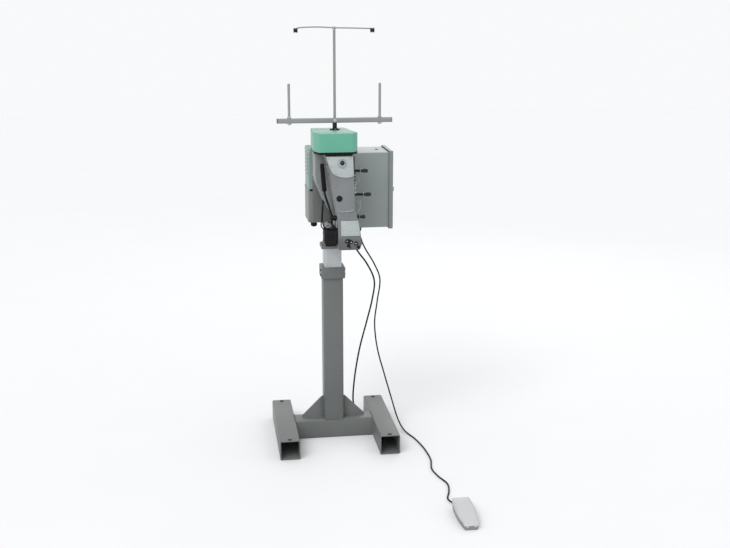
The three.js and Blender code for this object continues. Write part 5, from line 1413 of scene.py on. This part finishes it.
# ------------------------------------------------------------ welded base
weld = Piece("base_weld_beads", "stand", ["frame", "black", "zinc"])
for s in (-1, 1):
    weld.add(bead((s * 160, -36, 80.2), (s * 160, 36, 80.2)), 0)
    for y in (-1, 1):
        weld.add(bead((s * 160.2, y * 40.2, 5), (s * 160.2, y * 40.2, 77)), 0)
        weld.add(bead((s * 41, y * 4.4, 81), (s * 41, y * 4.4, 166), 1.8), 0)
        weld.add(bead((s * 44, y * 4.8, 80.6), (s * 128, y * 4.8, 80.6), 1.8), 0)
    weld.add(bead((-38, s * 40.4, 80.8), (38, s * 40.4, 80.8), 1.9), 0)
    for y in (-236, 206):
        weld.add(lathe("z", s * 200, y, [(0, 79.6), (9, 79.6), (9, 80.5), (8.2, 81.0), (0, 81.0)], 28), 1)
weld.done(50)
cg = Piece("column_fixings", "carriage", ["zinc", "blackox"])
for s in (-1, 1):
    cg.add(hexbolt((s * 20, -60, 832), (0, 0, 1), 11, 5), 0)
for x, z in ((-60, 1130), (46, 1130), (-18, 870), (46, 870)):
    cg.add(hexbolt((x, 46, z), (0, -1, 0), 10, 4.6), 0)
cg.done()
gx = Piece("gearbox_fixings", "stand", ["zinc", "blackox"])
for s in (-1, 1):
    for z in (174, 246):
        gx.add(hexbolt((s * 29, 50, z), (0, 1, 0), 8, 3.8), 0)
    for z in (694, 714):
        gx.add(screw((s * 48, -22, z), (s, 0, 0), 4.4, "hexsocket", 3.2), 1)
gx.add(lathe("y", 24, 232, [(0, -49), (3.4, -49), (3.4, -55), (2.2, -56), (0, -56)], 20), 0)
gx.done()

# -------------------------------------------------------- glands and boots
for nm, x in (("mains", 90), ("foot", 125)):
    p = Piece("cable_gland_" + nm, "carriage", ["black", "zinc"], ("gland_" + nm,))
    rr_in = 3.9 if nm == "mains" else 3.4
    p.add(lathe("z", x, 110, [(rr_in, 841), (6.4, 841), (8.6, 842.6), (9.8, 846), (9.8, 853), (rr_in, 853),
                              (rr_in, 841)], 40), 0)
    for i in range(12):
        a = 2 * PI * i / 12
        p.add(box(x + 9.6 * math.cos(a) - 0.8, x + 9.6 * math.cos(a) + 0.8, 110 + 9.6 * math.sin(a) - 0.8,
                  110 + 9.6 * math.sin(a) + 0.8, 845.6, 852.6, 0.35, 1), 0)
    p.add(turn(lathe("z", 0, 0, [(rr_in, 0), (12, 0), (12, 6.4), (11, 7.2), (rr_in, 7.2), (rr_in, 0)], 6),
               (x, 110, 854), (0, 0, 1)), 0)
    p.add(lathe("z", x, 110, [(rr_in, 861), (10.4, 861), (10.4, 864.6), (8, 864.8), (8, 866), (rr_in, 866),
                              (rr_in, 861)], 36), 0)
    p.add(turn(lathe("z", 0, 0, [(rr_in, 0), (10.6, 0), (10.6, 4.6), (10, 5.2), (rr_in, 5.2), (rr_in, 0)], 6),
               (x, 110, 867), (0, 0, 1)), 1)
    p.done()

# --------------------------------------------------------------- foot switch
PX, PB, PF = 366, -760, -935


def half(y):
    """Half the pedal's width: fuller in the middle, narrow at the heel."""
    t = (PB - y) / (PB - PF)
    if t < 0.45:
        return 29 + 4.5 * math.sin(PI * max(0.0, t) / 0.9)
    return 33.5 - 9.5 * ((t - 0.45) / 0.55) ** 2


def plan(grow, y0, y1, n=12):
    ys = [y0 + (y1 - y0) * i / n for i in range(n + 1)]
    return [(PX + half(y) + grow, y) for y in ys] + [(PX - half(y) - grow, y) for y in reversed(ys)]


pb = carve(prism("z", plan(-1.9, PB, PF), 0, 20, 2.2, 3), prism("z", plan(-5.2, PB - 4, PF + 12), 4, 30),
           lathe("y", PX - 10, 11, [(0, 740), (3.8, 740), (3.8, 780), (0, 780)], 20),
           lathe("x", PF + 22, 13, [(0, 300), (2.6, 300), (2.6, 430), (0, 430)], 16),
           box(300, 430, PF - 5, PF + 17, 15.5, 30))
ped = Piece("pedal_base_cast", "stand", ["pedal_shaded_grey", "rubber", "zinc"], ("pedal_base",))
ped.add(pb)
for x, y in ((PX - 20, PB - 14), (PX + 20, PB - 14), (PX - 17, PF + 20), (PX + 17, PF + 20)):
    ped.add(lathe("z", x, y, [(0, 3.8), (3.4, 3.8), (3.4, 5.4), (2.6, 6), (0, 6)], 20), 2)
ped.add(box(PX - 22, PX + 22, PB - 60, PB - 26, 3.8, 20, 1.4, 2), 1)
ped.add(ring_y(PX - 10, 11, 6.4, 3.5, -PB - 3, -PB + 1.2), 1)
ped.done()
tre = Piece("pedal_treadle_pressed", "treadle", ["ivory", "zinc", "rubber", "pedal_shaded_grey"], ("pedal_treadle",))
outl = [(PF - 2, 16), (PF + 3, 21), (PB - 14, 42), (PB - 2, 41), (PB - 2, 34), (PB - 18, 30), (PF + 40, 22.5),
        (PF + 14, 20.4)]
capm = carve(prism("x", outl, PX - 38, PX + 38), prism("z", plan(1.5, PB, PF - 4), -5, 60), op="INTERSECT")
tre.add(bevel(capm, 1.4, 3))
slope = lambda y: 21 + 21.0 * (y - (PF + 3)) / ((PB - 14) - (PF + 3))
# Turned-down skirt along both sides and the toe, outside the base's wall, in the darker grey as painted shade on the
# pedal's sides.
skirt = carve(prism("z", plan(0.9, PB - 3, PF + 24), -5, 60), prism("z", plan(-0.9, PB - 5, PF + 10), -10, 70))
skirt = carve(skirt, prism("x", [(PF + 20, 14.5), (PF + 20, 22), (PB - 12, 39.6), (PB - 1, 38.6), (PB - 1, 24)],
                           PX - 60, PX + 60), op="INTERSECT")
tre.add(skirt, 3)
for i in range(11):
    y = PF + 26 + 11.5 * i
    h = half(y) - 8
    tre.add(prism("x", [(y, slope(y) - 0.4), (y + 1.2, slope(y + 1.2) + 0.9), (y + 3.4, slope(y + 3.4) + 0.9),
                        (y + 4.6, slope(y + 4.6) - 0.4)], PX - h, PX + h, 0.3, 1), 0)
for s in (-1, 1):
    rim = [Vector((PX + s * (half(y) - 1.6), y, slope(y) + 0.3))
           for y in [PF + 12 + (PB - 18 - PF - 12) * i / 14 for i in range(15)]]
    tre.add(tube(rim, 1.3, 10, lambda t: min(1.0, 0.4 + 8 * t, 0.4 + 8 * (1 - t))), 0)
    tre.add(prism("x", [(PF + 15, 23), (PF + 16, 9), (PF + 28, 9), (PF + 30, 24)], PX + s * 16 - 2,
                  PX + s * 16 + 2, 0.5, 2), 0)
    tre.add(lathe("y", PX + s * 14, 14.4, [(0, -PF - 1), (4.2, -PF - 1), (4.2, -PF + 1.2), (3.2, -PF + 1.9),
                                           (0, -PF + 1.9)], 24), 0)
tre.done()

# ---------------------------------------------------------- crank and its knob
cr = Piece("crank_arm_forged", "crank", ["zinc", "blackox", "steel_y"], ("lift_crank",))
cr.add(lathe("y", 0, 210, [(0, -84), (7.9, -84), (7.9, -28.7), (20, -28.7), (24.2, -25), (14.2, -15), (0, -15)],
             40), 2)
cr.add(carve(prism("y", rr(-11, 11, 196, 297, 10.6, 8), 84, 94, 1.8, 3),
             lathe("y", 0, 210, [(0, -80), (14, -80), (14.6, -81), (14.6, -96), (13, -98), (0, -98)], 40),
             prism("y", rr(-5, 5, 232, 270, 4.9, 6), 80, 86.2, 0), op="UNION"), 0)
cr.add(hexbolt((0, 97.6, 210), (0, 1, 0), 10, 4.4), 1)
cr.add(screw((14.4, 89, 210), (1, 0, 0), 2.8, "hexsocket", 1.4), 1)
cr.add(lathe("y", 0, 285, [(0, -92), (4, -92), (4, -141.2), (3.2, -142), (0, -142)], 24), 2)
cr.add(turn(lathe("z", 0, 0, [(0, 0), (6.6, 0), (6.6, 3.8), (5.8, 4.6), (0, 4.6)], 6), (0, 84.2, 285), (0, -1, 0)), 1)
cr.done()
kn = Piece("crank_knob_turned", "knob", ["blackgloss", "steel_y"], ("crank_knob",))
kn.add(lathe("y", 0, 285, [(4.3, -94.6), (8.6, -94.6), (9.2, -95.4), (9.5, -99), (8.9, -99.5), (8.9, -100.5),
                           (9.7, -101), (10, -104), (10.8, -110), (11.6, -117), (12.2, -123), (12.5, -129),
                           (12.3, -134), (11.2, -138), (9, -140.4), (6.4, -141), (4.7, -141), (4.3, -140.6),
                           (4.3, -94.6)], 44), 0)
kn.add(lathe("y", 0, 285, [(4.3, -94.3), (7.4, -94.3), (7.4, -95), (4.3, -95), (4.3, -94.3)], 30), 1)
kn.done(40)

# -------------------------------------------- motor lead, looper, plunger
ml = Piece("motor_lead_and_glands", "carriage", ["pvc", "black", "zinc"], ("motor_lead",))
ml.add(tube(catmull([(-60, 121, 876), (-60, 150, 876), (-60, 195, 878), (-46, 226, 892), (0, 228, 914),
                     (40, 228, 920), (62, 228, 920)], 12), 5, 18), 0)
ml.add(lathe("z", -60, 120, [(0, 866), (9.2, 866), (10.4, 866.8), (13, 871), (13, 884.4), (9.8, 884.4), (9.8, 894.5),
                             (0, 894.5)], 40), 1)
ml.add(turn(lathe("z", 0, 0, [(0, 0), (13.8, 0), (13.8, 7), (12.8, 8), (0, 8)], 6), (-60, 120, 884.2), (0, 0, 1)), 1)
ml.add(lathe("y", -60, 876, [(0, -128), (8.6, -128), (8.6, -135.4), (7.6, -137), (0, -137)], 30), 1)
ml.add(lathe("x", 228, 920, [(0, 44), (7, 44), (8.6, 45.4), (10.4, 48.6), (10.4, 52.4), (0, 52.4)], 36), 1)
ml.add(turn(lathe("z", 0, 0, [(0, 0), (12.4, 0), (12.4, 6.6), (11.6, 7.4), (0, 7.4)], 6), (52, 228, 920), (1, 0, 0)), 1)
ml.add(lathe("x", 228, 920, [(0, 59), (7.9, 59), (7.9, 66), (0, 66)], 30), 1)
ml.add(turn(lathe("z", 0, 0, [(0, 0), (10.8, 0), (10.8, 4), (10.2, 4.6), (0, 4.6)], 6), (61.7, 228, 920), (1, 0, 0)), 2)
ml.done()
lo = Piece("looper_blade_and_shaft", "looper", ["steel", "blackox"], ("looper",))
lo.add(lathe("z", 30, -92, [(0, 847), (4.3, 847), (4.9, 847.7), (4.9, 927.3), (4.3, 928), (0, 928)], 30), 0)
lo.add(prism("z", [(29, -97), (38, -99.6), (46, -101), (50, -100.4), (54, -99), (49, -98), (46, -97), (38, -92.6),
                   (30, -88)], 886.2, 889, 0.5, 2), 0)
lo.add(lathe("z", 30, -92, [(0, 900), (7, 900), (7.4, 900.5), (7.4, 908.5), (7, 909), (0, 909)], 32), 1)
lo.add(screw((30, -84.8, 904.5), (0, 1, 0), 2.2, "hexsocket", 0.8), 0)
lo.done()
cp = Piece("cutter_plunger_rod", "cutter_plunger", ["steel_y", "blackox"], ("cutter_plunger",))
cp.add(lathe("y", -9.5, 873, [(0, 160.5), (2.0, 160.5), (2.5, 161), (2.5, 165.8), (2.1, 166), (2.1, 167.2), (2.5, 167.4),
                              (2.5, 215.6), (2.2, 216), (0, 216)], 26), 0)
cp.add(lathe("y", -9.5, 873, [(2.0, 166.1), (4.3, 166.1), (4.3, 167.1), (2.0, 167.1), (2.0, 166.1)], 24), 1)
cp.done()

REPLACED |= {"lift_crank", "crank_knob", "motor_lead", "looper", "cutter_plunger", "control_box", "control_door", "door_lock", "start_button", "stop_button", "control_plate",
             "motor_box", "motor_cover", "motor_body", "head_pulley", "gland_mains", "gland_foot",
             "pedal_base", "pedal_treadle"}

for name, o in NODES.items():
    if name in HIDDEN or name in REPLACED:
        continue
    mat, width = KEEP.get(name, ("zinc", 0.3))
    keep(name, mat, width)

# ------------------------------------------------------------------- stage
bm = bmesh.new()
bmesh.ops.create_grid(bm, x_segments=2, y_segments=2, size=14)
fl = bpy.data.meshes.new("floor")
bm.to_mesh(fl)
bm.free()
floor = bpy.data.objects.new("floor", fl)
COL.objects.link(floor)
g = Graph("floor_pale")
nf = g.noise(3, 3, 0.5)
g.link(g.mix(nf, lin((219, 220, 221)), lin((222, 223, 224))), g.b.inputs["Base Color"])
g.b.inputs["Roughness"].default_value = 0.85
g.b.inputs["Specular IOR Level"].default_value = 0.15
fl.materials.append(g.m)

bpy.context.scene.view_settings.view_transform = "Standard"
world = bpy.data.worlds.new("studio")
bpy.context.scene.world = world
world.use_nodes = True
bg = world.node_tree.nodes["Background"]
bg.inputs[0].default_value = (0.985, 0.99, 1.0, 1)
bg.inputs[1].default_value = 0.96


def area(name, loc, aim, size, power, color=(1, 1, 1), size_y=None):
    ld = bpy.data.lights.new(name, "AREA")
    ld.energy = power
    ld.color = color
    ld.size = size
    if size_y:
        ld.shape = "RECTANGLE"
        ld.size_y = size_y
    lo = bpy.data.objects.new(name, ld)
    COL.objects.link(lo)
    lo.location = loc
    lo.rotation_euler = (Vector(aim) - Vector(loc)).to_track_quat("-Z", "Y").to_euler()
    return lo


sun_data = bpy.data.lights.new("soft_sun", "SUN")
sun_data.energy = 1.5
sun_data.angle = math.radians(35)
sun = bpy.data.objects.new("soft_sun", sun_data)
COL.objects.link(sun)
sun.rotation_euler = (Vector((0, 0, 0)) - Vector((-2.0, -2.6, 3.6))).to_track_quat("-Z", "Y").to_euler()
area("rim", (1.6, 3.0, 2.6), (0, 0, 1.0), 1.6, 12)
area("front_strip", (-1.4, -3.6, 1.6), (0, 0, 1.0), 0.5, 6, (1.0, 0.99, 0.97), 2.2)
